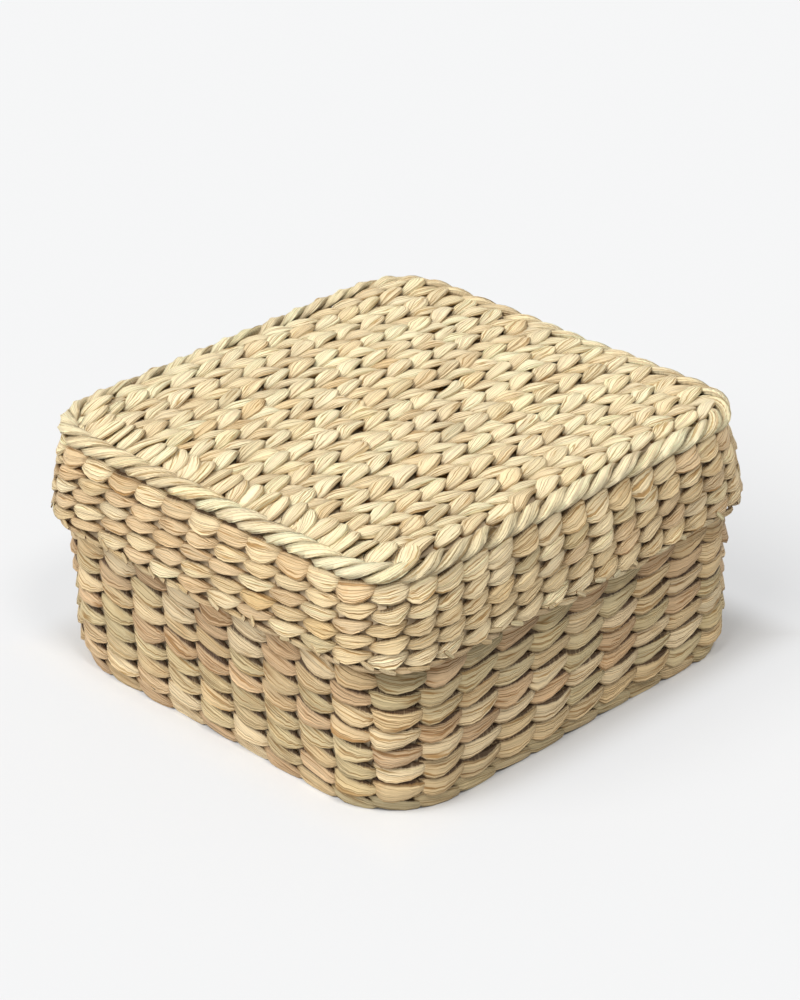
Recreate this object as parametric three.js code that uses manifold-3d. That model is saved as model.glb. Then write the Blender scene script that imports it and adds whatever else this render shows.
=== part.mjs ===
// A square woven box with a lift-off lid, in twined leaf strands.
// Each round of a wall and each row of a flat panel is its own piece, and flat stakes run through them.
// Millimetres, +Z up, origin at the middle of the base's underside, rows along X.
import * as THREE from 'three';
import { mergeVertices } from 'three/addons/utils/BufferGeometryUtils.js';
import Module from 'manifold-3d';

const wasm = await Module();
wasm.setup();

// Fits
const GAP = 0.3; // between two pieces that lie against each other
const STAKE_CLEARANCE = 0.3; // on each face of a stake, in the rounds and rows that hold it
const LID_CLEARANCE = 0.9; // between the base's outside and the lid's inside

// Base: half sides are measured to the outside of the wall
const BASE_HEIGHT = 118;
const BASE_FOOT_HALF = 120; // at the ground
const BASE_BELLY_HALF = 122; // on top of the first round
const BASE_FOOT_CORNER = 40;
const BASE_CORNER = 36;
const BASE_WALL = 7;
const BASE_ROUNDS = 12;
const BASE_RIM_HEIGHT = 4;
const FLOOR_THICKNESS = 7;
const FLOOR_ROWS = 13;

// Lid
const LID_SKIRT_HEIGHT = 39.2; // from the underside of the rope border to the lid's lower edge
const LID_TOP_HALF = 120.5; // wall, just under the rope border
const LID_SHOULDER_HALF = 124.8; // wall, two rounds down
const LID_RIM_HALF = 128; // wall, at its lower edge
const LID_TOP_CORNER = 32;
const LID_RIM_CORNER = 37;
const LID_WALL = 5;
const LID_ROUNDS = 5;
const LID_SHOULDER_ROUNDS = 2;
const LID_RIM_HEIGHT = 3.2;
const TOP_THICKNESS = 7;
const TOP_ROWS = 13;
const ROPE_OVERHANG = 1; // rope border outside the wall under it
const ROPE_WIDTH = 12;
const ROPE_HEIGHT = 11.7;
const TOP_PANEL_RISE = 2.2; // underside of the top rows over the underside of the rope border

// Stakes
const STAKE_THICKNESS = 1;
const BASE_STAKE_WIDTH = 12;
const BASE_STAKE_PITCH = 20;
const LID_STAKE_WIDTH = 9;
const LID_STAKE_PITCH = 15;
const STAKE_EDGE = 3; // straight side left beyond the last stake
const STAKE_TUCK = 2; // stakes end this far inside a rim
const TUCK_THICKNESS = 0.7; // of the stakes' ends, laid down sideways in the rim
const ROPE_TUCK = 5; // side stakes end this far inside the rope border
const STAKE_BEND = 4; // radius where a stake turns from a panel into a wall

// Sections
const BASE_BULGE = 1; // how far a round swells from its edges to its middle
const LID_BULGE = 0.7;
const ROW_EDGE = 1.2; // bevel of a row's long edges
const ROW_CROWN = 1; // how far a row's two ridges stand over its valley and edges

// Facets
const CORNER_STEPS = 4;
const MERGE_DISTANCE = 1e-5;

// Dry leaf colours
const ROUGHNESS = 0.75;
const STRAW = 0xd6c095;
const PALE_STRAW = 0xe0cda0;
const BROWN_STAKE = 0xa88a62;

// Heights that follow from the sizes above
const BASE_RIM_FROM = BASE_HEIGHT - BASE_RIM_HEIGHT;
const BASE_ROUND_PITCH = BASE_RIM_FROM / BASE_ROUNDS;
const ROPE_FROM = BASE_HEIGHT + GAP;
const ROPE_TO = ROPE_FROM + ROPE_HEIGHT;
const LID_WALL_TOP = ROPE_FROM - GAP;
const LID_RIM_FROM = LID_WALL_TOP - LID_SKIRT_HEIGHT;
const LID_RIM_TO = LID_RIM_FROM + LID_RIM_HEIGHT;
const LID_ROUND_PITCH = (LID_WALL_TOP - LID_RIM_TO) / LID_ROUNDS;
const TOP_FROM = ROPE_FROM + TOP_PANEL_RISE;
const FLOOR_MIDDLE = FLOOR_THICKNESS / 2;
const TOP_MIDDLE = TOP_FROM + TOP_THICKNESS / 2;

// A wall is a list of levels from the lowest up: height, half side and corner radius.
const lidWall = {
  thickness: LID_WALL,
  levels: [
    { z: LID_RIM_FROM, half: LID_RIM_HALF, corner: LID_RIM_CORNER },
    {
      z: LID_WALL_TOP - LID_SHOULDER_ROUNDS * LID_ROUND_PITCH,
      half: LID_SHOULDER_HALF,
      corner: (LID_TOP_CORNER + LID_RIM_CORNER) / 2,
    },
    { z: LID_WALL_TOP, half: LID_TOP_HALF, corner: LID_TOP_CORNER },
  ],
};

// The base passes inside the lid: from the lid's lower edge up it follows the lid's inside.
const INSIDE_LID = LID_WALL + LID_CLEARANCE;
const baseWall = {
  thickness: BASE_WALL,
  levels: [
    { z: 0, half: BASE_FOOT_HALF, corner: BASE_FOOT_CORNER },
    { z: BASE_ROUND_PITCH, half: BASE_BELLY_HALF, corner: BASE_CORNER },
    ...lidWall.levels.map(({ z, half }) => ({ z, half: half - INSIDE_LID, corner: BASE_CORNER })),
  ],
};

// The rope border is a wall of one level.
const ropeWall = {
  thickness: ROPE_WIDTH,
  levels: [{ z: ROPE_FROM, half: LID_TOP_HALF + ROPE_OVERHANG, corner: LID_TOP_CORNER + ROPE_OVERHANG }],
};

// Size of a wall at a height, in a straight line between its levels.
function levelAt(wall, z) {
  const { levels } = wall;
  if (z <= levels[0].z) {
    return levels[0];
  }
  for (let i = 1; i < levels.length; i += 1) {
    const below = levels[i - 1];
    const above = levels[i];
    if (z <= above.z) {
      const share = (z - below.z) / (above.z - below.z);
      const between = (key) => THREE.MathUtils.lerp(below[key], above[key], share);
      return { z, half: between('half'), corner: between('corner') };
    }
  }
  return levels.at(-1);
}

// Distance of a side from the middle of the box.
const sideReach = (wall, z, inset) => levelAt(wall, z).half - inset;

// Turns a side's own axes (u along it, v outwards) into X and Y. Side 0 faces +X, side 1 faces +Y.
function onSide(side, u, v) {
  const angle = (side * Math.PI) / 2;
  const cos = Math.round(Math.cos(angle));
  const sin = Math.round(Math.sin(angle));
  return [v * cos - u * sin, v * sin + u * cos];
}

// The outline of a wall at a height, anticlockwise, as pairs of X and Y.
function outline(wall, z, inset) {
  const level = levelAt(wall, z);
  const straight = level.half - level.corner;
  const radius = level.corner - inset;
  const points = [];
  for (let side = 0; side < 4; side += 1) {
    // A side starts where the corner before it ends, and then turns through its own corner.
    points.push(onSide(side, -straight, level.half - inset));
    for (let k = 0; k < CORNER_STEPS; k += 1) {
      const turn = (k / CORNER_STEPS) * (Math.PI / 2);
      points.push(onSide(side, straight + radius * Math.sin(turn), straight + radius * Math.cos(turn)));
    }
  }
  return points;
}

// A closed geometry from points and triangles, turned so that its faces look out.
function closedGeometry(points, triangles) {
  let volume = 0;
  const [a, b, c] = [new THREE.Vector3(), new THREE.Vector3(), new THREE.Vector3()];
  for (const [i, j, k] of triangles) {
    a.fromArray(points[i]);
    b.fromArray(points[j]);
    c.fromArray(points[k]);
    volume += a.dot(b.cross(c));
  }
  const faces = volume > 0 ? triangles : triangles.map(([i, j, k]) => [i, k, j]);
  const geometry = new THREE.BufferGeometry();
  geometry.setAttribute('position', new THREE.Float32BufferAttribute(points.flat(), 3));
  geometry.setIndex(faces.flat());
  return geometry;
}

// A closed ring round the box: section is a list of [inset, z], going round the section once.
function ring(wall, section) {
  const points = [];
  const triangles = [];
  const loops = section.map(([inset, z]) => outline(wall, z, inset));
  const around = loops[0].length;
  loops.forEach((loop, j) => loop.forEach(([x, y]) => points.push([x, y, section[j][1]])));
  for (let j = 0; j < section.length; j += 1) {
    const next = (j + 1) % section.length;
    for (let i = 0; i < around; i += 1) {
      const far = (i + 1) % around;
      const corners = [j * around + i, j * around + far, next * around + far, next * around + i];
      triangles.push([corners[0], corners[1], corners[2]], [corners[0], corners[2], corners[3]]);
    }
  }
  return closedGeometry(points, triangles);
}

// A flat strip along a path of [v, z] points, from one u to another, on the axes of one side.
function strip(side, fromU, toU, path, thickness) {
  const spine = path.map(([v, z]) => new THREE.Vector2(v, z));
  const last = spine.length - 1;
  const faces = [[], []];
  spine.forEach((point, j) => {
    const arriving = point.clone().sub(spine[Math.max(j - 1, 0)]).normalize();
    const leaving = spine[Math.min(j + 1, last)].clone().sub(point).normalize();
    const way = arriving.clone().add(leaving).normalize();
    // A mitre keeps the thickness where the path turns.
    const off = thickness / 2 / (j > 0 ? arriving : leaving).dot(way);
    faces[0].push([point.x - way.y * off, point.y + way.x * off]);
    faces[1].push([point.x + way.y * off, point.y - way.x * off]);
  });
  const section = [...faces[0], ...faces[1].reverse()];
  const around = section.length;
  const points = [fromU, toU].flatMap((u) => section.map(([v, z]) => [...onSide(side, u, v), z]));
  const triangles = [];
  const quad = (a, b, c, d) => triangles.push([a, b, c], [a, c, d]);
  for (let j = 0; j < around; j += 1) {
    const next = (j + 1) % around;
    quad(j, next, around + next, around + j);
  }
  for (let j = 0; j < last; j += 1) {
    const opposite = around - 1 - j;
    quad(j + 1, j, opposite, opposite - 1);
    quad(around + j, around + j + 1, around + opposite - 1, around + opposite);
  }
  return closedGeometry(points, triangles);
}

// Booleans
function solidOf(geometry) {
  const bare = geometry.clone();
  bare.deleteAttribute('normal');
  bare.deleteAttribute('uv');
  const merged = mergeVertices(bare, MERGE_DISTANCE);
  return new wasm.Manifold(new wasm.Mesh({
    numProp: 3,
    vertProperties: new Float32Array(merged.attributes.position.array),
    triVerts: new Uint32Array(merged.index.array),
  }));
}

function geometryOf(solid) {
  const mesh = solid.getMesh();
  const geometry = new THREE.BufferGeometry();
  geometry.setAttribute('position', new THREE.BufferAttribute(mesh.vertProperties, 3));
  geometry.setIndex(new THREE.BufferAttribute(mesh.triVerts, 1));
  geometry.computeVertexNormals();
  return geometry;
}

// Where stakes stand along a side: as many as its shortest straight stretch takes.
function stakePlaces(wall, width, pitch) {
  const straight = Math.min(...wall.levels.map((level) => level.half - level.corner));
  const room = 2 * (straight - STAKE_EDGE) - width;
  const count = Math.floor(room / pitch) + 1;
  return Array.from({ length: count }, (_, k) => (k - (count - 1) / 2) * pitch);
}

// The middle of a wall as a path from one height to another, by way of the wall's levels between them.
function wallPath(wall, fromZ, toZ) {
  const low = Math.min(fromZ, toZ);
  const high = Math.max(fromZ, toZ);
  const heights = [low, ...wall.levels.map((level) => level.z).filter((z) => z > low && z < high), high];
  const path = heights.map((z) => [sideReach(wall, z, wall.thickness / 2), z]);
  return fromZ < toZ ? path : path.reverse();
}

// A turn of a stake from a wall, met at wallZ, into a panel whose middle is at panelZ.
function turnPath(v, panelZ, wallZ) {
  const up = Math.sign(wallZ - panelZ);
  const midway = STAKE_BEND * (1 - Math.SQRT1_2);
  return [
    [v, panelZ + up * STAKE_BEND],
    [v - midway, panelZ + up * midway],
    [v - STAKE_BEND, panelZ],
  ];
}

// The same path on the opposite side of the box.
const mirrored = (path) => path.map(([v, z]) => [-v, z]);

// A stake across a panel, with both ends in the walls.
function longPath(wall, endZ, wallZ, panelZ) {
  const wallPart = wallPath(wall, endZ, wallZ);
  const [v] = wallPart.at(-1);
  const half = [...wallPart, ...turnPath(v, panelZ, wallZ)];
  return [...half, ...mirrored(half).reverse()];
}

// The stakes of one set, laid down sideways in the rim where they end, and the room cut for them.
function stakeSet(side, places, width, path, tuckPaths) {
  const first = places[0] - width / 2;
  const last = places.at(-1) + width / 2;
  const stakes = places.map((at) => strip(side, at - width / 2, at + width / 2, path, STAKE_THICKNESS));
  const tucks = tuckPaths.map((tuck) => strip(side, places[0], places.at(-1), tuck, TUCK_THICKNESS));
  const comb = [...stakes, ...tucks].map(solidOf).reduce((joined, piece) => joined.add(piece));
  const room = STAKE_THICKNESS + 2 * STAKE_CLEARANCE;
  const longer = lengthened(path, STAKE_CLEARANCE);
  const cut = solidOf(strip(side, first - STAKE_CLEARANCE, last + STAKE_CLEARANCE, longer, room));
  return { comb, cut };
}

// A path made longer at both ends.
function lengthened(path, by) {
  const stretched = path.map(([v, z]) => new THREE.Vector2(v, z));
  const count = stretched.length;
  const push = (end, next) => end.add(end.clone().sub(next).setLength(by));
  push(stretched[0], stretched[1].clone());
  push(stretched[count - 1], stretched[count - 2].clone());
  return stretched.map((point) => [point.x, point.y]);
}

const box = new THREE.Group();

function place(name, geometry, color) {
  const material = new THREE.MeshStandardMaterial({ color, roughness: ROUGHNESS, metalness: 0 });
  const mesh = new THREE.Mesh(geometry, material);
  mesh.name = name;
  box.add(mesh);
}

const numbered = (stem, k) => `${stem}_${String(k + 1).padStart(2, '0')}`;

// The swelling section of one round of a wall.
function roundSection(wall, fromZ, toZ, bulge) {
  const middle = (fromZ + toZ) / 2;
  const inner = wall.thickness;
  return [
    [bulge, fromZ],
    [0, middle],
    [bulge, toZ],
    [inner - bulge, toZ],
    [inner, middle],
    [inner - bulge, fromZ],
  ];
}

function cutRing(wall, section, cuts) {
  return geometryOf(cuts.reduce((solid, cut) => solid.subtract(cut), solidOf(ring(wall, section))));
}

// The rows of a panel: bars along X with two ridges, trimmed to the space inside the border.
function panelRows(stem, count, border, fromZ, thickness, longCut, color) {
  const inside = outline(border, border.levels[0].z, border.thickness + GAP);
  const field = inside.map(([x, y]) => new THREE.Vector2(x, y));
  const reach = Math.max(...field.map((point) => point.y));
  const pitch = (2 * reach + GAP) / count;
  const half = (pitch - GAP) / 2;
  const fieldGeometry = new THREE.ExtrudeGeometry(new THREE.Shape(field), {
    depth: thickness + 2 * GAP,
    bevelEnabled: false,
  });
  fieldGeometry.translate(0, 0, fromZ - GAP);
  const fieldSolid = solidOf(fieldGeometry);
  const section = new THREE.Shape([
    [-half + ROW_EDGE, 0],
    [half - ROW_EDGE, 0],
    [half, ROW_EDGE],
    [half, thickness - ROW_CROWN],
    [half / 2, thickness],
    [0, thickness - ROW_CROWN],
    [-half / 2, thickness],
    [-half, thickness - ROW_CROWN],
    [-half, ROW_EDGE],
  ].map(([y, z]) => new THREE.Vector2(y, z)));
  for (let k = 0; k < count; k += 1) {
    const bar = new THREE.ExtrudeGeometry(section, { depth: 2 * (reach + GAP), bevelEnabled: false });
    bar.translate(0, 0, -reach - GAP);
    // The section's first axis becomes Y, its second Z, and the bar's length X.
    bar.applyMatrix4(new THREE.Matrix4().makeBasis(
      new THREE.Vector3(0, 1, 0),
      new THREE.Vector3(0, 0, 1),
      new THREE.Vector3(1, 0, 0),
    ));
    bar.translate(0, (k - (count - 1) / 2) * pitch, fromZ);
    const row = solidOf(bar).intersect(fieldSolid).subtract(longCut);
    place(numbered(stem, k), geometryOf(row), color);
  }
}

// Lengthwise stakes run between side 1 and the side opposite, and the two other sides have their own.
const LONG_SIDE = 1;
const OWN_SIDES = { right: 0, left: 2 };

// Base stakes
const baseStakePlaces = stakePlaces(baseWall, BASE_STAKE_WIDTH, BASE_STAKE_PITCH);
const baseStakeTop = BASE_RIM_FROM + STAKE_TUCK;
const baseTuck = wallPath(baseWall, BASE_RIM_FROM, baseStakeTop - GAP);
const baseLong = stakeSet(
  LONG_SIDE,
  baseStakePlaces,
  BASE_STAKE_WIDTH,
  longPath(baseWall, baseStakeTop, FLOOR_MIDDLE + STAKE_BEND + GAP, FLOOR_MIDDLE),
  [baseTuck, mirrored(baseTuck)],
);
place('base_stakes_long', geometryOf(baseLong.comb), BROWN_STAKE);
const baseCuts = [baseLong.cut];
for (const [name, side] of Object.entries(OWN_SIDES)) {
  const path = wallPath(baseWall, FLOOR_MIDDLE, baseStakeTop);
  const set = stakeSet(side, baseStakePlaces, BASE_STAKE_WIDTH, path, [baseTuck]);
  place(`base_stakes_${name}`, geometryOf(set.comb), BROWN_STAKE);
  baseCuts.push(set.cut);
}

// Base rounds, rim and floor
for (let k = 0; k < BASE_ROUNDS; k += 1) {
  const fromZ = k * BASE_ROUND_PITCH;
  const section = roundSection(baseWall, fromZ, fromZ + BASE_ROUND_PITCH - GAP, BASE_BULGE);
  place(numbered('base_round', k), cutRing(baseWall, section, baseCuts), STRAW);
}
const baseRimSection = roundSection(baseWall, BASE_RIM_FROM, BASE_HEIGHT, BASE_BULGE);
place('base_rim', cutRing(baseWall, baseRimSection, baseCuts), STRAW);
panelRows('base_floor_row', FLOOR_ROWS, baseWall, 0, FLOOR_THICKNESS, baseLong.cut, STRAW);

// Lid stakes
const lidStakePlaces = stakePlaces(lidWall, LID_STAKE_WIDTH, LID_STAKE_PITCH);
const lidStakeEnd = LID_RIM_TO - STAKE_TUCK;
const lidTuck = wallPath(lidWall, lidStakeEnd + GAP, LID_RIM_TO);
const lidLong = stakeSet(
  LONG_SIDE,
  lidStakePlaces,
  LID_STAKE_WIDTH,
  longPath(lidWall, lidStakeEnd, LID_WALL_TOP, TOP_MIDDLE),
  [lidTuck, mirrored(lidTuck)],
);
place('lid_stakes_long', geometryOf(lidLong.comb), BROWN_STAKE);
const lidCuts = [lidLong.cut];
for (const [name, side] of Object.entries(OWN_SIDES)) {
  const inRope = [sideReach(lidWall, LID_WALL_TOP, LID_WALL / 2), ROPE_FROM + ROPE_TUCK];
  const path = [...wallPath(lidWall, lidStakeEnd, LID_WALL_TOP), inRope];
  const set = stakeSet(side, lidStakePlaces, LID_STAKE_WIDTH, path, [lidTuck]);
  place(`lid_stakes_${name}`, geometryOf(set.comb), BROWN_STAKE);
  lidCuts.push(set.cut);
}

// Lid rounds, rim, rope border and top
for (let k = 0; k < LID_ROUNDS; k += 1) {
  const toZ = LID_WALL_TOP - k * LID_ROUND_PITCH;
  const section = roundSection(lidWall, toZ - LID_ROUND_PITCH + GAP, toZ, LID_BULGE);
  place(numbered('lid_round', k), cutRing(lidWall, section, lidCuts), PALE_STRAW);
}
const lidRimSection = roundSection(lidWall, LID_RIM_FROM, LID_RIM_TO, LID_BULGE);
place('lid_rim', cutRing(lidWall, lidRimSection, lidCuts), PALE_STRAW);

// The rope border's section, as shares of its width and height.
const ropeSection = [
  [0.1, 0],
  [0, 0.36],
  [0.06, 0.7],
  [0.32, 1],
  [0.66, 1],
  [0.95, 0.7],
  [1, 0.36],
  [0.9, 0],
].map(([across, up]) => [across * ROPE_WIDTH, THREE.MathUtils.lerp(ROPE_FROM, ROPE_TO, up)]);
place('lid_rope_border', cutRing(ropeWall, ropeSection, lidCuts), PALE_STRAW);
panelRows('lid_top_row', TOP_ROWS, ropeWall, TOP_FROM, TOP_THICKNESS, lidLong.cut, PALE_STRAW);

export default box;
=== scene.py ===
"""Looks of a woven lidded box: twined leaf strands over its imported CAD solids."""

import math
from collections import namedtuple
from functools import partial

import bpy
import numpy as np
from bpy.props import FloatProperty, FloatVectorProperty, IntProperty, PointerProperty
from mathutils import Matrix, Vector


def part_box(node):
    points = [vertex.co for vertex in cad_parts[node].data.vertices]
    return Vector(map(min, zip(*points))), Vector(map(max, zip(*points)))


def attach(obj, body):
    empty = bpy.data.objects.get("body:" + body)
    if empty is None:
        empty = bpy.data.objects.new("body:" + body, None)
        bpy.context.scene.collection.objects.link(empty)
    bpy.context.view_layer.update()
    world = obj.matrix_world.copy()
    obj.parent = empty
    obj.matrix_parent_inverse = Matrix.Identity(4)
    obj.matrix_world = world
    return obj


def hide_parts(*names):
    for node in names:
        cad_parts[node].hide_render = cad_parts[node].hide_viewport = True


bl_info = {
    "name": "Woven lidded box",
    "version": (1, 0, 0),
    "blender": (4, 5, 0),
    "location": "3D View > Sidebar > Woven box",
    "description": "Weaves a square leaf box and its lift-off lid over the packed solids",
    "category": "Add Mesh",
}

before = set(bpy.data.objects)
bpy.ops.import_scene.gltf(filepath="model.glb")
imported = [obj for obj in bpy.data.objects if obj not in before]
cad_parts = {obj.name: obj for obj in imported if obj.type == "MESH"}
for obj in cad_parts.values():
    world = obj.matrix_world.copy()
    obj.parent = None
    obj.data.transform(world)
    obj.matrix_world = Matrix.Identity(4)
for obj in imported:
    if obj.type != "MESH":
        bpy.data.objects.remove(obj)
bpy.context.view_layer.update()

MM = 0.001
FULL_TURN = 2 * math.pi

# Wall outlines as height, half width and corner radius, in metres
BASE_LEVELS = np.array(
    (
        (0.0, 0.1200, 0.0400),
        (0.0095, 0.1220, 0.0360),
        (0.0788, 0.1221, 0.0360),
        (0.1036, 0.1189, 0.0360),
        (0.1180, 0.1146, 0.0360),
    )
)
LID_LEVELS = np.array(
    (
        (0.0788, 0.1280, 0.0370),
        (0.1036, 0.1248, 0.0345),
        (0.1180, 0.1205, 0.0320),
    )
)

# Rounds and rows, and how many rounds of the base show under the lid
BASE_ROUNDS = 12
SHOWN_ROUNDS = 8
LID_ROUNDS = 5
MAT_ROWS = 13

# Room between two rounds or rows of the solids, which the stitches take up
ROUND_GAP = 0.3 * MM

# Stitches are even along a line this far out from the middle of the wall
STITCH_LINE = 5.5 * MM

# From stake to stake round the walls, in metres
BASE_PITCH = 0.0223
LID_PITCH = 0.0144

# How much rougher than HAND the work on walls and mats is, and how far a round is set on or back
WALL_ROUGHNESS = 1.25
MAT_ROUGHNESS = 1.6
PHASE_SPREAD = 0.06

# How far the fibres of a pair's second strand are set on from the first's
STRAND_OFFSET = 0.37

# Points nearer than this are one
WELD = 2e-6

# Sides of a strand's section, and where the rings of a stitch and of a rope strand sit
SIDES = 8
STITCH_RINGS = (-0.5, -0.43, -0.31, -0.15, 0.04, 0.22, 0.36, 0.45, 0.5)
ROPE_RINGS = tuple(math.sin(math.pi / 2 * step / 11) for step in range(-11, 12))

# Levels of a section's middle, shoulder and edge, and how much more painted shade its edge gets
# than its shoulder
SECTION_LEVELS = (0.0, 0.708, 1.0)
EDGE_SHADE_EXTRA = 0.6

# Hand work: spreads of a stitch's swell, its folds in millimetres, its stand, its shift along in
# stakes, its sink, its lean and its climb
HandSpread = namedtuple("HandSpread", "swell fold stand shift sink lean climb")
HAND = HandSpread(
    swell=0.08, fold=0.20, stand=0.3 * MM, shift=0.06, sink=0.4 * MM, lean=0.15, climb=0.15
)

# Radius that a rope strand's section is bent round, and the rope's outer corner radius
ROPE_BEND = 6.0 * MM
ROPE_CORNER = 0.033

# How a rope strand narrows to its blunt end and to its tail, and how deep and wide its ends are
ROPE_BLUNT = 3.4
ROPE_TAIL = 1.9
ROPE_END_DEPTH = 0.16
ROPE_END_WIDTH = 0.10

# How rope strands vary in length, turn, first angle and width
ROPE_SPREADS = (0.08, 0.05, 0.12, 0.09)
ROPE_FIRST_ANGLE = math.radians(38.0)

# Rows of a mat are spread a little and overlap, and its rising stitches are slimmer and stand
# over its falling ones, which slant less
MAT_SPREAD = 1.03
MAT_OVERLAP = 0.8 * MM
MAT_STEP = 0.3 * MM
RISING_HEIGHT = 0.88
FALLING_SLANT = 0.7

# How far the rows of a mat sway and ripple sideways and heave up and down, and its lowest level
MAT_SWAY = 0.7 * MM
MAT_RIPPLE = 0.4 * MM
MAT_HEAVE = 0.6 * MM
MAT_LOWEST = 0.2 * MM

# Loops at the end of a half row: how far in, how far across in half rows, and how far down
LOOPS = ((1.5 * MM, 0.5, 2.0 * MM), (2.0 * MM, 0.0, 0.0))
LOOP_ROUNDING = 9.0 * MM

# A loop's length in widths of its column and the strength of its painted shade, and the mean and
# spread of its shift along, climb, size, folds, tip, rise and shift across
LOOP_LENGTH = 1.5
LOOP_EDGE_SHADE = 0.9
LOOP_SHIFT = (0.0, 1.1 * MM)
LOOP_CLIMB = (1.0, 0.6)
LOOP_SIZE = (1.42, 0.18)
LOOP_FOLDS = (0.0, 0.25 * MM)
LOOP_TIP = (-0.28, 0.08)
LOOP_RISE = (1.05, 0.07)
LOOP_ASIDE = (0.0, 0.6 * MM)

# Trimmed ends at the lid rim: place along, half depth and half height in millimetres
TRIMMED_END = (
    (-3.6, 0.25, 0.7),
    (-2.0, 0.4, 1.2),
    (0.0, 0.5, 1.4),
    (2.2, 0.4, 1.2),
    (3.6, 0.3, 1.0),
)
TRIMMED_ENDS = 64
TRIMMED_LOWEST = 78.2 * MM
TRIMMED_STAND = 3.7 * MM

# Mean and spread of a trimmed end's angle in degrees, size, slope outward and height over the rim
TRIMMED_ANGLE = (-20.0, 16.0)
TRIMMED_SIZE = (1.0, 0.2)
TRIMMED_SLOPE = (0.10, 0.12)
TRIMMED_HEIGHT = (1.2 * MM, 0.8 * MM)

# Stakes: points along each stretch and across, height of the ribs, thickness, the gap between
# two, how far a stretch goes across the floor or the top, and the width and turn at a corner
STAKE_STEPS = 9
STAKE_COLUMNS = 9
STAKE_RIB = 0.22 * MM
STAKE_THICKNESS = 0.8 * MM
STAKE_GAP = 0.2 * MM
STAKE_REACH = 0.94
CORNER_STAKE = 18.6 * MM
CORNER_STAKE_TURN = 0.0236

# Leaf finishes: the material's name and the strength of fibre lines, creases, stains and painted
# shade
BASE_LEAF = ("base_leaf", 0.9, 1.2, 0.5, 0.95)
FLOOR_LEAF = ("floor_leaf", 0.8, 1.2, 0.5, 0.85)
LID_LEAF = ("lid_leaf", 0.9, 1.3, 0.45, 0.9)
LID_TOP_LEAF = ("lid_top_leaf", 0.8, 1.2, 0.35, 1.0)
ROPE_LEAF = ("rope_leaf", 1.0, 1.0, 0.25, 0.6)

# The round of the lid by the rope is this much taller than the others, and stands out further
ROPE_ROUND_EXTRA = 2.6 * MM
ROPE_ROUND_STAND = 0.2 * MM

# How strong the floor's glow is, which makes the floor white and is painted light that lightens
# the box's shadow away from the box, and where it starts and is full, from the middle of the box
GLOW_STRENGTH = 1.27
GLOW_START = 0.121
GLOW_FULL = 0.150

# The base is a little darker and warmer than the lid
BASE_SHADE = (0.86, 0.83, 0.80)

# How slowly a stitch comes out at its start and how suddenly it goes in at its tip, where it is
# tallest, how it narrows before and after that, how slim its ends are, how flat its section is,
# how far its sections lean, how far it starts before and reaches past the crossings, how much
# painted shade its upper edge gets under the next round, and how many millimetres its tip is raised
StitchForm = namedtuple(
    "StitchForm", "slow steep peak before after end square lean start past tuck hook"
)
SCALE = StitchForm(
    slow=0.8, steep=10.0, peak=-0.16, before=6.0, after=1.9, end=0.09,
    square=0.45, lean=0.35, start=0.12, past=0.22, tuck=1.95, hook=3.1,
)
BAND = StitchForm(
    slow=0.4, steep=8.0, peak=-0.05, before=4.0, after=2.1, end=0.09,
    square=0.5, lean=0.35, start=0.06, past=0.13, tuck=1.8, hook=0.0,
)
SEED = StitchForm(
    slow=0.5, steep=5.0, peak=0.0, before=1.55, after=1.45, end=0.09,
    square=0.68, lean=0.3, start=0.10, past=0.15, tuck=0.82, hook=0.0,
)
RIBBON = StitchForm(
    slow=0.6, steep=5.0, peak=-0.05, before=2.6, after=2.2, end=0.16,
    square=0.55, lean=0.4, start=0.16, past=0.32, tuck=0.25, hook=0.0,
)
FOOT = BAND._replace(start=0.12, past=0.24, tuck=1.0)
FULL_SEED = SEED._replace(before=2.4, after=2.4, end=0.16)
LEAF = RIBBON._replace(steep=3.5, before=1.9, after=1.8, end=0.11, start=0.10, past=0.20)

# The lift of a stitch's start against that of its tip
START_LIFT = 0.65

# A wall: its outline, its thickness, how far its sides bow out, and the stakes of its four sides
Wall = namedtuple("Wall", "levels thickness bow counts")

# How strands are twined: the lean of the stitches, how far the inner ones stand against the outer
# ones, their sag, how rough the work is, their slant at a place along, and another stitch to
# blend into with its share at a place along
Twining = namedtuple("Twining", "shingle crest_in sag rough slant blend", defaults=(None, None))
EVEN_TWINING = Twining(shingle=0.0, crest_in=1.0, sag=0.0, rough=WALL_ROUGHNESS)

# A twined pair: the stake and the strand of each stitch, and where its points are along, outward
# and up, with how clear of the wall they stand and their painted shade under the next round
Pair = namedtuple("Pair", "stake strand along out up traits")

# A round: its wall and twining, how far it waves and the seed of its waves, the lowest level that
# it may reach, and its colours with their shares and spread
RoundPlan = namedtuple("RoundPlan", "wall twining wave seed lowest colouring")

# A mat: the names of its pieces, its body and slot, its finish and colours, its half width and
# corner radius, whether it is the domed lid top with its loops, and its seed
MatPlan = namedtuple("MatPlan", "stem body slot finish colouring edge corner loops seed")

# A set of stakes: its wall, the pitch and count on a side, where they start and end on the long
# and the short sides, the level and outer side of the panel, and the panel's extra stakes as
# steps past the last one and half length
StakePlan = namedtuple("StakePlan", "wall pitch count low high side_high panel outward extra")


def tone(red, green, blue):
    """A display colour from 0 to 255 as the linear colour that shaders use."""
    values = []
    for channel in (red, green, blue):
        share = channel / 255.0
        low = share / 12.92
        high = ((share + 0.055) / 1.055) ** 2.4
        values.append(low if share <= 0.04045 else high)
    return tuple(values)


def count_setting(name, description, default, least):
    """A whole number that a user can change."""
    return IntProperty(name=name, description=description, default=default, min=least)


def length_setting(name, description, default):
    """A length in metres that a user can change."""
    return FloatProperty(name=name, description=description, default=default, unit="LENGTH")


def angle_setting(name, description, degrees):
    """An angle that a user can change."""
    default = math.radians(degrees)
    return FloatProperty(name=name, description=description, default=default, unit="ROTATION")


def strength_setting(name, description, default):
    """A light's strength that a user can change."""
    return FloatProperty(name=name, description=description, default=default, min=0.0)


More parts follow.
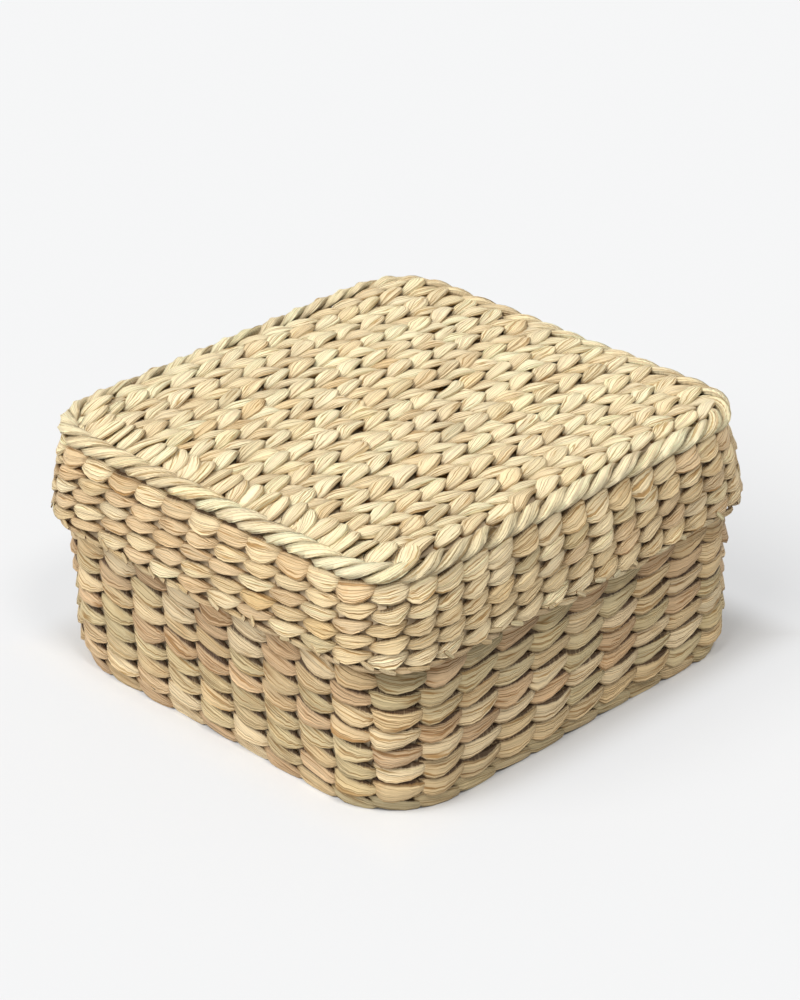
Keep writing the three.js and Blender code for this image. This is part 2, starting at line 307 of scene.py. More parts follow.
def colour_setting(name, description, default):
    """A colour that a user can change."""
    return FloatVectorProperty(
        name=name, description=description, default=default, subtype="COLOR", min=0.0, max=1.0
    )


class BaseWeave(bpy.types.PropertyGroup):
    """Sizes of the stitches round the base."""

    stitches: count_setting(
        "Stitches a side", "How many stakes a round of the base passes on each side", 10, 3
    )
    wall: length_setting("Wall", "Thickness of the base wall", 0.007)
    crest: length_setting(
        "Crest", "How far the outside of a stitch stands from the middle of the wall", 0.0040
    )
    strand: length_setting(
        "Strand", "Thickness of a flattened strand where it passes a stake", 0.0014
    )
    slant: length_setting(
        "Slant", "How far a stitch climbs or falls to either side of its middle", 2.5 * MM
    )
    overlap: length_setting("Overlap", "How far a stitch laps over the next round", 1.5 * MM)
    shingle: angle_setting(
        "Shingle", "How far a stitch leans so that its lower edge stands out", 13.0
    )
    sag: length_setting("Sag", "How far the middle of a stitch hangs below its ends", 0.0006)


class LidWeave(bpy.types.PropertyGroup):
    """Sizes of the stitches round the lid."""

    stitches: count_setting(
        "Stitches at the front",
        "How many stakes a round of the lid passes at the front and at the back",
        15,
        3,
    )
    side_stitches: count_setting(
        "Stitches at the sides",
        "How many stakes a round of the lid passes on its left and right sides",
        12,
        3,
    )
    wall: length_setting("Wall", "Thickness of the lid wall", 0.005)
    crest: length_setting(
        "Crest", "How far the outside of a stitch stands from the middle of the wall", 0.0041
    )
    strand: length_setting(
        "Strand", "Thickness of a flattened strand where it passes a stake", 0.0032
    )
    slant: length_setting(
        "Slant", "How far a stitch climbs or falls to either side of its middle", 0.0017
    )
    overlap: length_setting("Overlap", "How far a stitch laps over the next round", 0.35 * MM)
    shingle: angle_setting(
        "Shingle", "How far a stitch leans so that its lower edge stands out", 10.0
    )
    sag: length_setting("Sag", "How far the middle of a stitch hangs below its ends", 0.0003)
    bow: length_setting("Bow", "How far the middle of a lid side stands out at its rim", 0.0030)


class MatWeave(bpy.types.PropertyGroup):
    """Sizes of the chevron rows of the lid top and the floor."""

    pitch: length_setting("Stitch length", "From one stake of the mat to the next", 0.0152)
    crest: length_setting(
        "Crest", "How far the top of a stitch stands over the middle of the mat", 0.0039
    )
    strand: length_setting(
        "Strand", "Thickness of a flattened strand where it passes a stake", 0.0022
    )
    slant: length_setting(
        "Slant", "How far a stitch runs to either side of the middle of its half row", 3.1 * MM
    )
    shingle: angle_setting(
        "Shingle", "How far a stitch leans so that its front edge stands out", 6.0
    )
    skew: FloatProperty(
        name="Skew",
        description="How far the rows run askew in the middle of the mat, as a slope",
        default=0.055,
    )
    dome: length_setting(
        "Dome", "How far the middle of the lid top stands over its edge", 0.0020
    )
    loop_width: length_setting(
        "Loop column", "Width of the column of turned loops along the left edge of the lid", 0.0157
    )


class RopeBorder(bpy.types.PropertyGroup):
    """Sizes of the rope round the top edge of the lid."""

    strands: count_setting(
        "Strands", "How many strand ends lie side by side round the lid", 58, 12
    )
    reach: length_setting("Strand length", "How far along the edge one strand runs", 0.041)
    turn: angle_setting("Turn", "How far one strand winds round the rope", 245.0)
    width: length_setting("Strand width", "Width of a strand at its middle", 0.0124)
    depth: length_setting("Strand depth", "Thickness of a strand at its middle", 0.0082)


class LeafColours(bpy.types.PropertyGroup):
    """Colours of the dried leaf."""

    straw: colour_setting("Straw", "Most of the strands", tone(219, 196, 153))
    pale: colour_setting(
        "Pale straw", "The lightest strands, on the lid top and the rope", tone(241, 223, 185)
    )
    green: colour_setting(
        "Green straw", "Strands that dried with some green left", tone(205, 191, 150)
    )
    tan: colour_setting("Tan", "Pinkish strands", tone(212, 182, 144))
    ochre: colour_setting(
        "Ochre", "A few strands of a strong yellow brown", tone(210, 176, 118)
    )


class StudioStage(bpy.types.PropertyGroup):
    """Floor, light and camera."""

    floor_colour: colour_setting("Floor", "Colour of the floor", (0.695, 0.703, 0.715))
    floor_bounce: colour_setting(
        "Floor bounce",
        "Colour of the floor for the light that it throws back on the box",
        (0.55, 0.55, 0.55),
    )
    # The floor glow is painted light: it lightens the box's shadow on the floor away from the box
    floor_glow: FloatProperty(
        name="Floor glow",
        description="How much of the floor away from the box is its own white, for a light shadow",
        default=0.58,
        min=0.0,
        max=1.0,
        subtype="FACTOR",
    )
    key_strength: strength_setting("Key light", "Strength of the soft light from the left", 2.7)
    key_spread: angle_setting("Key spread", "How wide the key light is seen from the object", 45.0)
    fill_strength: strength_setting("Fill light", "Strength of the light from the front", 1.12)
    fill_spread: angle_setting(
        "Fill spread", "How wide the fill light is seen from the object", 14.0
    )
    sky_strength: strength_setting(
        "Room light", "Strength of the even light from all round", 0.44
    )
    lens: FloatProperty(
        name="Lens",
        description="Focal length of the camera",
        default=116.0,
        unit="CAMERA",
    )
    sensor: FloatProperty(
        name="Sensor",
        description="Width of the camera's sensor",
        default=36.0,
        unit="CAMERA",
    )
    distance: length_setting(
        "Distance", "From the camera to the point that it looks at", 1.5949
    )
    azimuth: angle_setting("Azimuth", "Direction of the camera round the box", -43.08)
    elevation: angle_setting("Elevation", "Height of the camera over the horizon", 27.62)
    roll: angle_setting("Roll", "How far the camera is tipped sideways", -2.01)
    target: FloatVectorProperty(
        name="Target",
        description="The point that the camera looks at",
        default=(0.02392, 0.02323, 0.06098),
        subtype="TRANSLATION",
        unit="LENGTH",
    )


def deselect_all():
    """Leaves edit mode and clears the selection, so that an operator touches only what follows."""
    if bpy.context.mode != "OBJECT":
        bpy.ops.object.mode_set(mode="OBJECT")
    bpy.ops.object.select_all(action="DESELECT")


def model_strand(name, rings, capped):
    """Models one strand of leaf laid straight: X along it, Y outward and Z up.

    Each ring is its place along, outward and up, and its half depth and half height.
    """
    deselect_all()
    bpy.ops.mesh.primitive_circle_add(
        vertices=SIDES, radius=1.0, rotation=(0.0, math.pi / 2, 0.0)
    )
    strand = bpy.context.active_object
    strand.name = name
    bpy.ops.object.transform_apply(location=False, rotation=True, scale=False)
    bpy.ops.object.mode_set(mode="EDIT")
    bpy.ops.mesh.select_all(action="SELECT")
    start = rings[0]
    bpy.ops.transform.resize(
        value=(1.0, start[3], start[4]), center_override=(0.0, 0.0, 0.0)
    )
    bpy.ops.transform.translate(value=start[:3])
    for before, after in zip(rings, rings[1:]):
        step = Vector(after[:3]) - Vector(before[:3])
        bpy.ops.mesh.extrude_edges_move(TRANSFORM_OT_translate={"value": step})
        bpy.ops.transform.resize(
            value=(1.0, after[3] / before[3], after[4] / before[4]),
            center_override=after[:3],
        )
    if capped:
        bpy.ops.mesh.select_all(action="SELECT")
        bpy.ops.mesh.fill_holes(sides=SIDES)
    bpy.ops.object.mode_set(mode="OBJECT")
    return strand


def read_strand(strand, rings):
    """Takes the points, faces and fibre coordinates off a modelled strand, and deletes the model."""
    mesh = strand.data
    points = np.array([v.co for v in mesh.vertices], float)
    table = np.array(rings, float)
    ring = np.abs(points[:, 0][:, None] - table[:, 0][None, :]).argmin(1)
    centre = table[ring]
    across = (points[:, 1] - centre[:, 1]) / centre[:, 3]
    upward = (points[:, 2] - centre[:, 2]) / centre[:, 4]
    around = (np.arctan2(upward, across) / FULL_TURN + 0.5) % 1.0
    quads = np.array([p.vertices[:] for p in mesh.polygons if len(p.vertices) == 4])
    caps = [list(p.vertices) for p in mesh.polygons if len(p.vertices) != 4]
    turns = around[quads]
    wrapped = (turns.max(1) - turns.min(1)) > 0.5
    turns[wrapped] = np.where(turns[wrapped] < 0.5, turns[wrapped] + 1.0, turns[wrapped])
    shape = {
        "along": points[:, 0],
        "out": points[:, 1],
        "up": points[:, 2],
        "middle_out": centre[:, 1],
        "middle_up": centre[:, 2],
        "half_depth": centre[:, 3],
        "half_height": centre[:, 4],
        "quads": quads,
        "caps": caps,
        "turns": turns,
    }
    bpy.data.objects.remove(strand)
    bpy.data.meshes.remove(mesh)
    return shape


def flattened(offset, half, power):
    """Moves the points of a round section outward to a flatter one."""
    share = offset / half
    return np.sign(share) * np.abs(share) ** power * half


def painted_shade_level(level, tuck):
    """How much painted shade a point gets under its neighbour: none at the middle of a strand, most
    at its edge.
    """
    return np.interp(level, SECTION_LEVELS, (0.0, tuck, tuck + EDGE_SHADE_EXTRA))


def model_stitch(name, pitch, crest, strand, row, slant, overlap, form):
    """One stitch over one stake: out between two stakes, across the middle one and in again.

    Along runs in shares of the stake pitch; the rest is in metres.
    """
    rings = []
    end = form.end * row
    for share in STITCH_RINGS:
        if share < 0:
            rise = max(math.sin(math.pi * (share + 0.5)), 0.0) ** form.slow
        else:
            rise = 1.0 - (2 * share) ** form.steep
        if share < form.peak:
            full = 1.0 - ((form.peak - share) / (form.peak + 0.5)) ** form.before
        else:
            full = 1.0 - ((share - form.peak) / (0.5 - form.peak)) ** form.after
        depth = end + (strand / 2 - end) * rise
        height = end + (row / 2 + overlap - end) * full
        climb = slant * math.sin(math.pi * share)
        rings.append((share, (crest - strand / 2) * rise, climb, depth, height))
    shape = read_strand(model_strand(name, rings, False), rings)
    # How clear of the wall the strand's middle stands, and the strength of the painted shade under
    # the next round; the material paints shade from both
    shape["clear"] = np.clip(shape["middle_out"] / (crest - strand / 2), 0.0, 1.0) ** 0.3
    shape["tuck"] = form.tuck
    reach = 2 * np.abs(shape["along"])
    lift = np.where(shape["along"] > 0, form.hook, START_LIFT * form.hook)
    shape["hook"] = lift * MM * reach**2 * (1.0 - reach**8)
    weight = np.cos(math.pi * shape["along"]) ** 2
    up = shape["up"] - shape["middle_up"]
    out = shape["out"] - shape["middle_out"]
    angle = np.arctan2(up / shape["half_height"], out / shape["half_depth"])
    shape["column"] = np.round(angle / FULL_TURN * SIDES).astype(int) % SIDES
    tall = shape["half_height"] / shape["half_height"].max()
    shape["level"] = up / shape["half_height"] * tall
    shape["broad"] = 1.0 - np.abs(2 * shape["along"]) ** 4
    up = flattened(up, shape["half_height"], form.square)
    out = flattened(out, shape["half_depth"], form.square)
    shape["up"] = shape["middle_up"] + up
    shape["out"] = shape["middle_out"] + out
    early = shape["along"] < 0
    shape["stretch"] = np.where(early, 1.0 + 2 * form.start, 1.0 + 2 * form.past)
    shape["shrink"] = np.where(early, 1.0 - 2 * form.past, 1.0 - 2 * form.start)
    shape["nominal"] = shape["along"]
    shape["along"] = shape["along"] - form.lean * up * weight / pitch
    shape["weight"] = weight
    return shape


def model_rope_strand(name, depth, width):
    """One strand of the rope border, with a blunt outer end and a long inner tail."""
    rings = []
    for share in ROPE_RINGS:
        full = 1.0 - abs(share) ** (ROPE_BLUNT if share < 0 else ROPE_TAIL)
        half_depth = depth / 2 * (ROPE_END_DEPTH + (1.0 - ROPE_END_DEPTH) * full)
        half_width = width / 2 * (ROPE_END_WIDTH + (1.0 - ROPE_END_WIDTH) * full)
        rings.append((share, 0.0, 0.0, half_depth, half_width))
    return read_strand(model_strand(name, rings, True), rings)


def strand_colours(random, count, palette, shares, spread):
    """Colours of the stitches along one strand: leaves of a few stitches each, a little mottled.

    Spread is how far the leaves stray from the first colour of the palette.
    """
    chosen = []
    shares = np.array(shares, float) / sum(shares)
    first = np.array(palette[0])
    while len(chosen) < count:
        pick = random.choice(len(palette), p=shares)
        mate = random.choice(len(palette), p=shares)
        mix = random.uniform(0.0, 0.35)
        colour = np.array(palette[pick]) * (1 - mix) + np.array(palette[mate]) * mix
        colour = first + (colour - first) * spread
        for _ in range(int(random.integers(4, 10))):
            light = 1.0 + random.normal(0.0, 0.04)
            warm = random.normal(0.0, 0.010)
            chosen.append(colour * light * np.array((1.0 + warm, 1.0, 1.0 - 1.6 * warm)))
    return np.clip(np.array(chosen[:count]), 0.0, 1.0)


def finish_piece(obj, body, nodes, crisp):
    """Turns the faces outward and smooths them, and lets the piece ride and stand for its nodes."""
    bpy.ops.object.mode_set(mode="EDIT")
    bpy.ops.mesh.select_all(action="SELECT")
    bpy.ops.mesh.normals_make_consistent(inside=False)
    bpy.ops.object.mode_set(mode="OBJECT")
    bpy.ops.object.shade_smooth_by_angle(angle=math.radians(crisp))
    obj.select_set(False)
    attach(obj, body)
    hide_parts(*nodes)


class Weaving:
    """Collects copies of modelled strands into one piece."""

    def __init__(self):
        self.points = []
        self.faces = []
        self.caps = []
        self.fibres = []
        self.colours = []
        self.traits = []
        self.count = 0

    def add(self, shape, points, starts, colours, seeds, traits):
        """Adds copies of a strand.

        Each has its points, where it starts along its fibres, its colour and its seed. Traits are
        how clear of the wall its points stand and how much painted shade they get under the next
        round; the material paints shade from both.
        """
        copies, size = points.shape[0], points.shape[1]
        offsets = self.count + np.arange(copies) * size
        faces = shape["quads"][None, :, :] + offsets[:, None, None]
        self.points.append(points.reshape(-1, 3))
        self.faces.append(faces.reshape(-1, 4))
        along = shape["along"][shape["quads"]][None] + starts[:, None, None]
        turns = np.broadcast_to(shape["turns"][None], along.shape)
        self.fibres.append(np.stack((along, turns), -1).reshape(-1, 2))
        corners = (copies,) + shape["quads"].shape
        colour = np.ones(corners + (4,))
        colour[..., :3] = colours[:, None, None, :]
        self.colours.append(colour.reshape(-1, 4))
        trait = np.zeros(corners + (3,))
        trait[..., 0] = seeds[:, None, None]
        trait[..., 1:] = np.broadcast_to(traits, (copies, size, 2))[:, shape["quads"]]
        self.traits.append(trait.reshape(-1, 3))
        for offset in offsets:
            for cap in shape["caps"]:
                self.caps.append([int(offset) + v for v in cap])
        self.count += copies * size

    def piece(self, name, material, body, nodes, crisp=35.0):
        """Welds the copies into one object that rides its body and stands for its CAD nodes."""
        points = np.concatenate(self.points)
        quads = np.concatenate(self.faces)
        mesh = bpy.data.meshes.new(name)
        mesh.from_pydata(points.tolist(), [], quads.tolist() + self.caps)
        loops = len(quads) * 4
        total = len(mesh.loops)
        fibres = np.zeros((total, 2), np.float32)
        fibres[:loops] = np.concatenate(self.fibres)
        colours = np.zeros((total, 4), np.float32)
        colours[:loops] = np.concatenate(self.colours)
        colours[loops:] = colours[:loops].mean(0)
        traits = np.zeros((total, 3), np.float32)
        traits[:loops] = np.concatenate(self.traits)
        mesh.uv_layers.new(name="fibre").data.foreach_set("uv", fibres.ravel())
        tint = mesh.attributes.new("leaf_colour", "FLOAT_COLOR", "CORNER")
        tint.data.foreach_set("color", colours.ravel())
        trait = mesh.attributes.new("leaf_trait", "FLOAT_VECTOR", "CORNER")
        trait.data.foreach_set("vector", traits.ravel())
        obj = bpy.data.objects.new(name, mesh)
        bpy.context.scene.collection.objects.link(obj)
        obj.data.materials.append(material)
        deselect_all()
        obj.select_set(True)
        bpy.context.view_layer.objects.active = obj
        bpy.ops.object.mode_set(mode="EDIT")
        bpy.ops.mesh.select_all(action="SELECT")
        bpy.ops.mesh.remove_doubles(threshold=WELD)
        bpy.ops.mesh.fill_holes(sides=SIDES)
        finish_piece(obj, body, nodes, crisp)


def side_bow(wall, height, place):
    """How far a side stands out at a height, and at a place from its middle to its corner, 0 to 1."""
    lowest, highest = wall.levels[0, 0], wall.levels[-1, 0]
    drop = np.clip((highest - height) / (highest - lowest), 0.0, 1.0)
    return wall.bow * (0.35 + 0.65 * drop) * (1 - place**2) ** 2


def wall_size(wall, height):
    """Half width and corner radius of the middle of a wall at a height."""
    half = np.interp(height, wall.levels[:, 0], wall.levels[:, 1]) - wall.thickness / 2
    corner = np.interp(height, wall.levels[:, 0], wall.levels[:, 2]) - wall.thickness / 2
    return half, corner


def wall_place(wall, turn, out, height):
    """Points on a wall. Turn is the share of the way round from the middle of the front side."""
    half, corner = wall_size(wall, height)
    straight = half - corner
    bend = corner + STITCH_LINE
    quarter = 2 * straight + bend * math.pi / 2
    side = np.floor(turn * 4 + 0.5)
    along = (turn * 4 - side) * quarter
    run = np.minimum(np.abs(along), straight)
    angle = (np.abs(along) - run) / bend
    out = out + side_bow(wall, height, run / straight)
    x = np.sign(along) * (run + (corner + out) * np.sin(angle))
    y = -(straight + (corner + out) * np.cos(angle))
    around = side * math.pi / 2
    return np.stack(
        (
            x * np.cos(around) - y * np.sin(around),
            x * np.sin(around) + y * np.cos(around),
            height,
        ),
        -1,
    )


def wobble(turn, height, seed):
    """A slow unevenness of hand work, from minus one to one, that closes on itself."""
    phases = np.random.default_rng(seed).uniform(0, FULL_TURN, 4)
    weights = (1.0, 1.0, 0.8, 0.6)
    waves = zip(weights, (3, 7, 13, 23), (31, -47, 83, -120), phases)
    total = sum(
        weight * np.sin(FULL_TURN * times * turn + phase + climb * height)
        for weight, times, climb, phase in waves
    )
    return total / sum(weights)


def twined(stitch, count, direction, twining, random):
    """The stitches of one twined pair: two strands that swap sides at each stake."""
    stake = np.tile(np.arange(count), 2)
    strand = np.repeat((0, 1), count)
    side = np.where((stake + strand) % 2 == 0, 1.0, -1.0)[:, None]
    facing = side * direction
    weight = stitch["weight"][None, :]
    copies = 2 * count
    mate, share = stitch, 0.0
    if twining.blend is not None:
        mate, mate_share = twining.blend
        share = mate_share(stake[:, None] + stitch["nominal"][None, :])

    def form(key):
        return stitch[key][None, :] + (mate[key] - stitch[key])[None, :] * share

    def vary(spread):
        return random.normal(0.0, spread * twining.rough, copies)[:, None]

    swell = 1.0 + vary(HAND.swell) * weight
    folds = random.normal(0.0, HAND.fold * twining.rough * MM, (copies, SIDES))
    proud = (vary(HAND.stand) + folds[:, stitch["column"]]) * weight
    shift = vary(HAND.shift) * weight
    sink = (vary(HAND.sink) - side * twining.sag) * weight
    lean = twining.shingle * (1.0 + vary(HAND.lean))
    stretch = np.where(side > 0, form("stretch"), form("shrink"))
    along = stake[:, None] + form("along") * stretch + shift
    section = (form("up") - form("middle_up")) * swell
    climb = form("middle_up") * (1.0 + vary(HAND.climb) * weight)
    if twining.slant is not None:
        climb = climb * twining.slant(along)
    up = facing * (section + climb) + np.where(side > 0, form("hook"), 0.0)
    reach = np.where(side > 0, 1.0, twining.crest_in)
    out = form("out") * (1.0 + (reach - 1.0) * weight) + proud
    tipped = np.tan(lean) * stitch["broad"][None, :] * (facing * section)
    out = side * (out - tipped)
    # Painted shade under the next round, more at the edges, and where the strand goes in between the
    # stakes
    tuck = painted_shade_level(np.clip(facing * stitch["level"][None, :], 0.0, 1.0), stitch["tuck"])
    clear = np.broadcast_to(form("clear"), tuck.shape)
    return Pair(stake, strand, along, out, up + sink, np.stack((clear, tuck), -1))


def add_pair(weaving, stitch, pair, points, colouring, random):
    """Adds the stitches of a twined pair, coloured strand by strand."""
    count = len(pair.stake) // 2
    colours = np.concatenate([strand_colours(random, count, *colouring) for _ in range(2)])
    seeds = random.uniform(0.0, 1.0, 2 * count)
    starts = pair.stake + STRAND_OFFSET * pair.strand
    weaving.add(stitch, points, starts, colours, seeds, pair.traits)


def stake_turn(along, counts):
    """Share of the way round a wall from a place in stakes, given the stakes of its four sides."""
    front, right, back, left = counts
    marks = np.cumsum((-left, left, front, right, back, left, front))
    turns = np.arange(-1.5, 5.0) / 4.0
    return np.interp(along, marks, turns)


def side_wave(along, counts):
    """One at the middle of the front and the back, minus one at the middle of the sides."""
    return np.cos(2 * FULL_TURN * stake_turn(along, counts))


def lay_round(weaving, stitch, plan, height, phase, direction, random):
    """Lays one twined round on a wall and colours its two strands."""
    counts = plan.wall.counts
    pair = twined(stitch, sum(counts), direction, plan.twining, random)
    turn = stake_turn(pair.along + phase, counts)
    level = height + pair.up
    out = pair.out + plan.wave * wobble(turn, level, plan.seed)
    level = level + 0.6 * plan.wave * wobble(turn, level * 0.4, plan.seed + 1)
    level = np.maximum(level, plan.lowest)
    points = wall_place(plan.wall, turn, out, level)
    add_pair(weaving, stitch, pair, points, plan.colouring, random)


def feed(tree, socket, value):
    """Sets a socket to a plain value, or links a node's output to it."""
    if isinstance(value, (int, float, tuple)):
        socket.default_value = value
    else:
        tree.links.new(value, socket)


def math_node(tree, operation, *values):
    """What a math node gives."""
    node = tree.nodes.new("ShaderNodeMath")
    node.operation = operation
    for socket, value in zip(node.inputs, values):
        feed(tree, socket, value)
    return node.outputs[0]


def colour_mix(tree, blend, share, first, second, clamp=False):
    """What a colour mix node gives."""
    node = tree.nodes.new("ShaderNodeMix")
    node.data_type = "RGBA"
    node.blend_type = blend
    node.clamp_result = clamp
    for number, value in ((0, share), (6, first), (7, second)):
        feed(tree, node.inputs[number], value)
    return node.outputs[2]


def range_node(tree, value, start, end, low=0.0, high=1.0, smooth=False):
    """A value taken from one range to another and kept in it."""
    node = tree.nodes.new("ShaderNodeMapRange")
    node.interpolation_type = "SMOOTHSTEP" if smooth else "LINEAR"
    node.inputs["From Min"].default_value = start
    node.inputs["From Max"].default_value = end
    node.inputs["To Min"].default_value = low
    node.inputs["To Max"].default_value = high
    tree.links.new(value, node.inputs["Value"])
    return node.outputs[0]


def split_node(tree, vector):
    """The three parts of a vector."""
    node = tree.nodes.new("ShaderNodeSeparateXYZ")
    tree.links.new(vector, node.inputs[0])
    return node.outputs


def leaf_fibre_group():
    """Fibre lines, creases and mottling that run along a strand of dried leaf, with painted shade
    in its crevices.

    Fibre is the place along and round a strand. Trait is the stitch's seed, how clear of the wall
    a point stands and how much painted shade it gets under the next round.
    """
    found = bpy.data.node_groups.get("leaf_fibre_and_shade")
    if found:
        return found
    group = bpy.data.node_groups.new("leaf_fibre_and_shade", "ShaderNodeTree")
    for side, kind, names in (
        ("INPUT", "NodeSocketColor", ("Leaf",)),
        ("INPUT", "NodeSocketVector", ("Fibre", "Trait")),
        ("INPUT", "NodeSocketFloat", ("Lines", "Creases", "Stain", "Shade")),
        ("OUTPUT", "NodeSocketColor", ("Colour",)),
        ("OUTPUT", "NodeSocketFloat", ("Roughness", "Height")),
    ):
        for name in names:
            group.interface.new_socket(name, in_out=side, socket_type=kind)
    links = group.links
    given = group.nodes.new("NodeGroupInput").outputs
    result = group.nodes.new("NodeGroupOutput").inputs
    work_out = partial(math_node, group)
    along, around, _ = split_node(group, given["Fibre"])
    seed, clear, tuck = split_node(group, given["Trait"])
    seed = work_out("MULTIPLY", seed, 53.0)

    def streak(along_scale, around_scale, detail, roughness=0.55):
        """Noise drawn out along the strand, different in each stitch."""
        place = group.nodes.new("ShaderNodeCombineXYZ")
        links.new(work_out("MULTIPLY", along, along_scale), place.inputs[0])
        links.new(work_out("MULTIPLY", around, around_scale), place.inputs[1])
        links.new(seed, place.inputs[2])
        noise = group.nodes.new("ShaderNodeTexNoise")
        noise.inputs["Scale"].default_value = 1.0
        noise.inputs["Detail"].default_value = detail
        noise.inputs["Roughness"].default_value = roughness
        links.new(place.outputs[0], noise.inputs["Vector"])
        return noise.outputs[0]

    def darken(colour, share, tint):
        """Multiplies a colour by a tint, as far as the share says."""
        return colour_mix(group, "MULTIPLY", share, colour, tint + (1.0,), True)

    # Relief: fine lines, broad folds and sharp wrinkles
    fine = work_out("SUBTRACT", streak(0.9, 100.0, 2.0), 0.5)
    fold = work_out("SUBTRACT", streak(0.6, 40.0, 1.0), 0.5)
    cleft = work_out("ABSOLUTE", work_out("SUBTRACT", streak(0.45, 25.0, 0.0), 0.5))
    wrinkle = range_node(group, cleft, 0.0, 0.07, 1.0, 0.0, smooth=True)
    wrinkle = work_out("MULTIPLY", wrinkle, given["Creases"])
    grain = work_out("MULTIPLY", fine, given["Lines"])
    crease = work_out("MULTIPLY", fold, given["Creases"])
    relief = work_out("ADD", grain, crease)
    links.new(work_out("MULTIPLY_ADD", wrinkle, -0.22, relief), result["Height"])

    # The leaf's own colour, lighter and darker along the lines and folds
    light = work_out("ADD", fine, 1.16)
    light = work_out("MULTIPLY_ADD", fold, 0.75, light)
    lit = group.nodes.new("ShaderNodeCombineColor")
    for socket in lit.inputs[:3]:
        links.new(light, socket)
    toned = colour_mix(group, "MULTIPLY", 1.0, given["Leaf"], lit.outputs[0], True)
    # Painted shade in the sharp wrinkles, which the relief sinks in
    toned = darken(toned, work_out("MULTIPLY", wrinkle, 0.85), (0.54, 0.41, 0.26))

    # Painted shade, warm, towards the edges of the strand, in the grooves between strands
    edge = work_out("ABSOLUTE", work_out("SUBTRACT", work_out("FRACT", around), 0.5))
    edge = work_out("MAXIMUM", work_out("MULTIPLY_ADD", edge, 4.0, -0.15), 0.0)
    edge = work_out("MULTIPLY", work_out("POWER", edge, 2.0), 0.8)
    edge = work_out("MULTIPLY", work_out("MINIMUM", edge, 1.0), given["Shade"])
    toned = darken(toned, edge, (0.74, 0.58, 0.36))

    # Stains
    spots = range_node(group, streak(2.2, 5.0, 2.0), 0.56, 0.78)
    toned = darken(toned, work_out("MULTIPLY", spots, given["Stain"]), (0.72, 0.55, 0.36))

    # Painted shade where the strand goes in between two stakes
    inside = work_out("MULTIPLY", work_out("SUBTRACT", 1.0, clear), given["Shade"])
    toned = darken(toned, inside, (0.32, 0.19, 0.08))

    # Painted shade, darkest, under the edge of the next round, with a ragged edge of short ticks
    under = work_out("MAXIMUM", work_out("MINIMUM", tuck, 1.0), 0.0)
    ticks = work_out("MULTIPLY_ADD", streak(34.0, 0.0, 1.0, 0.5), 0.50, 0.78)
    under = work_out("POWER", work_out("MULTIPLY", under, ticks), 4.0)
    under = work_out("MULTIPLY", work_out("MINIMUM", under, 1.0), given["Shade"])
    toned = darken(toned, under, (0.10, 0.06, 0.03))
    links.new(toned, result["Colour"])
    links.new(work_out("MULTIPLY_ADD", fine, -0.25, 0.56), result["Roughness"])
    return group


def new_material(name):
    """A material with nodes, its node tree and its shader."""
    material = bpy.data.materials.new(name)
    material.use_nodes = True
    return material, material.node_tree, material.node_tree.nodes["Principled BSDF"]


def leaf_material(name, lines, creases, stain, shade):
    """Dried leaf: the strand's own colour, with fibre lines and creases along it, and painted shade
    in its crevices.
    """
    found = bpy.data.materials.get(name)
    if found:
        return found
    material, tree, shader = new_material(name)
    leaf = tree.nodes.new("ShaderNodeGroup")
    leaf.node_tree = leaf_fibre_group()
    colour = tree.nodes.new("ShaderNodeAttribute")
    colour.attribute_name = "leaf_colour"
    trait = tree.nodes.new("ShaderNodeAttribute")
    trait.attribute_name = "leaf_trait"
    fibre = tree.nodes.new("ShaderNodeUVMap")
    fibre.uv_map = "fibre"
    for socket, value in (
        ("Leaf", colour.outputs["Color"]),
        ("Fibre", fibre.outputs["UV"]),
        ("Trait", trait.outputs["Vector"]),
        ("Lines", lines),
        ("Creases", creases),
        ("Stain", stain),
        ("Shade", shade),
    ):
        feed(tree, leaf.inputs[socket], value)
    tree.links.new(leaf.outputs["Colour"], shader.inputs["Base Color"])
    tree.links.new(leaf.outputs["Roughness"], shader.inputs["Roughness"])
    bump = tree.nodes.new("ShaderNodeBump")
    bump.inputs["Strength"].default_value = 0.8
    bump.inputs["Distance"].default_value = 1.2 * MM
    tree.links.new(leaf.outputs["Height"], bump.inputs["Height"])
    tree.links.new(bump.outputs["Normal"], shader.inputs["Normal"])
    shader.inputs["Specular IOR Level"].default_value = 0.35
    return material


def leaf_palette(scene, *names):
    """The named leaf colours as plain tuples."""
    return [tuple(getattr(scene.woven_colours, name)) for name in names]


def node_height(node):
    """Middle height of a CAD node, and how tall it is."""
    low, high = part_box(node)
    return (low.z + high.z) / 2, high.z - low.z


def base_wall(scene):
    """The base wall with the stakes of its rounds."""
    weave = scene.woven_base
    return Wall(BASE_LEVELS, weave.wall, 0.0, (weave.stitches,) * 4)


def lid_wall(scene):
    """The lid wall with the stakes of its rounds."""
    weave = scene.woven_lid
    return Wall(LID_LEVELS, weave.wall, weave.bow, (weave.stitches, weave.side_stitches) * 2)


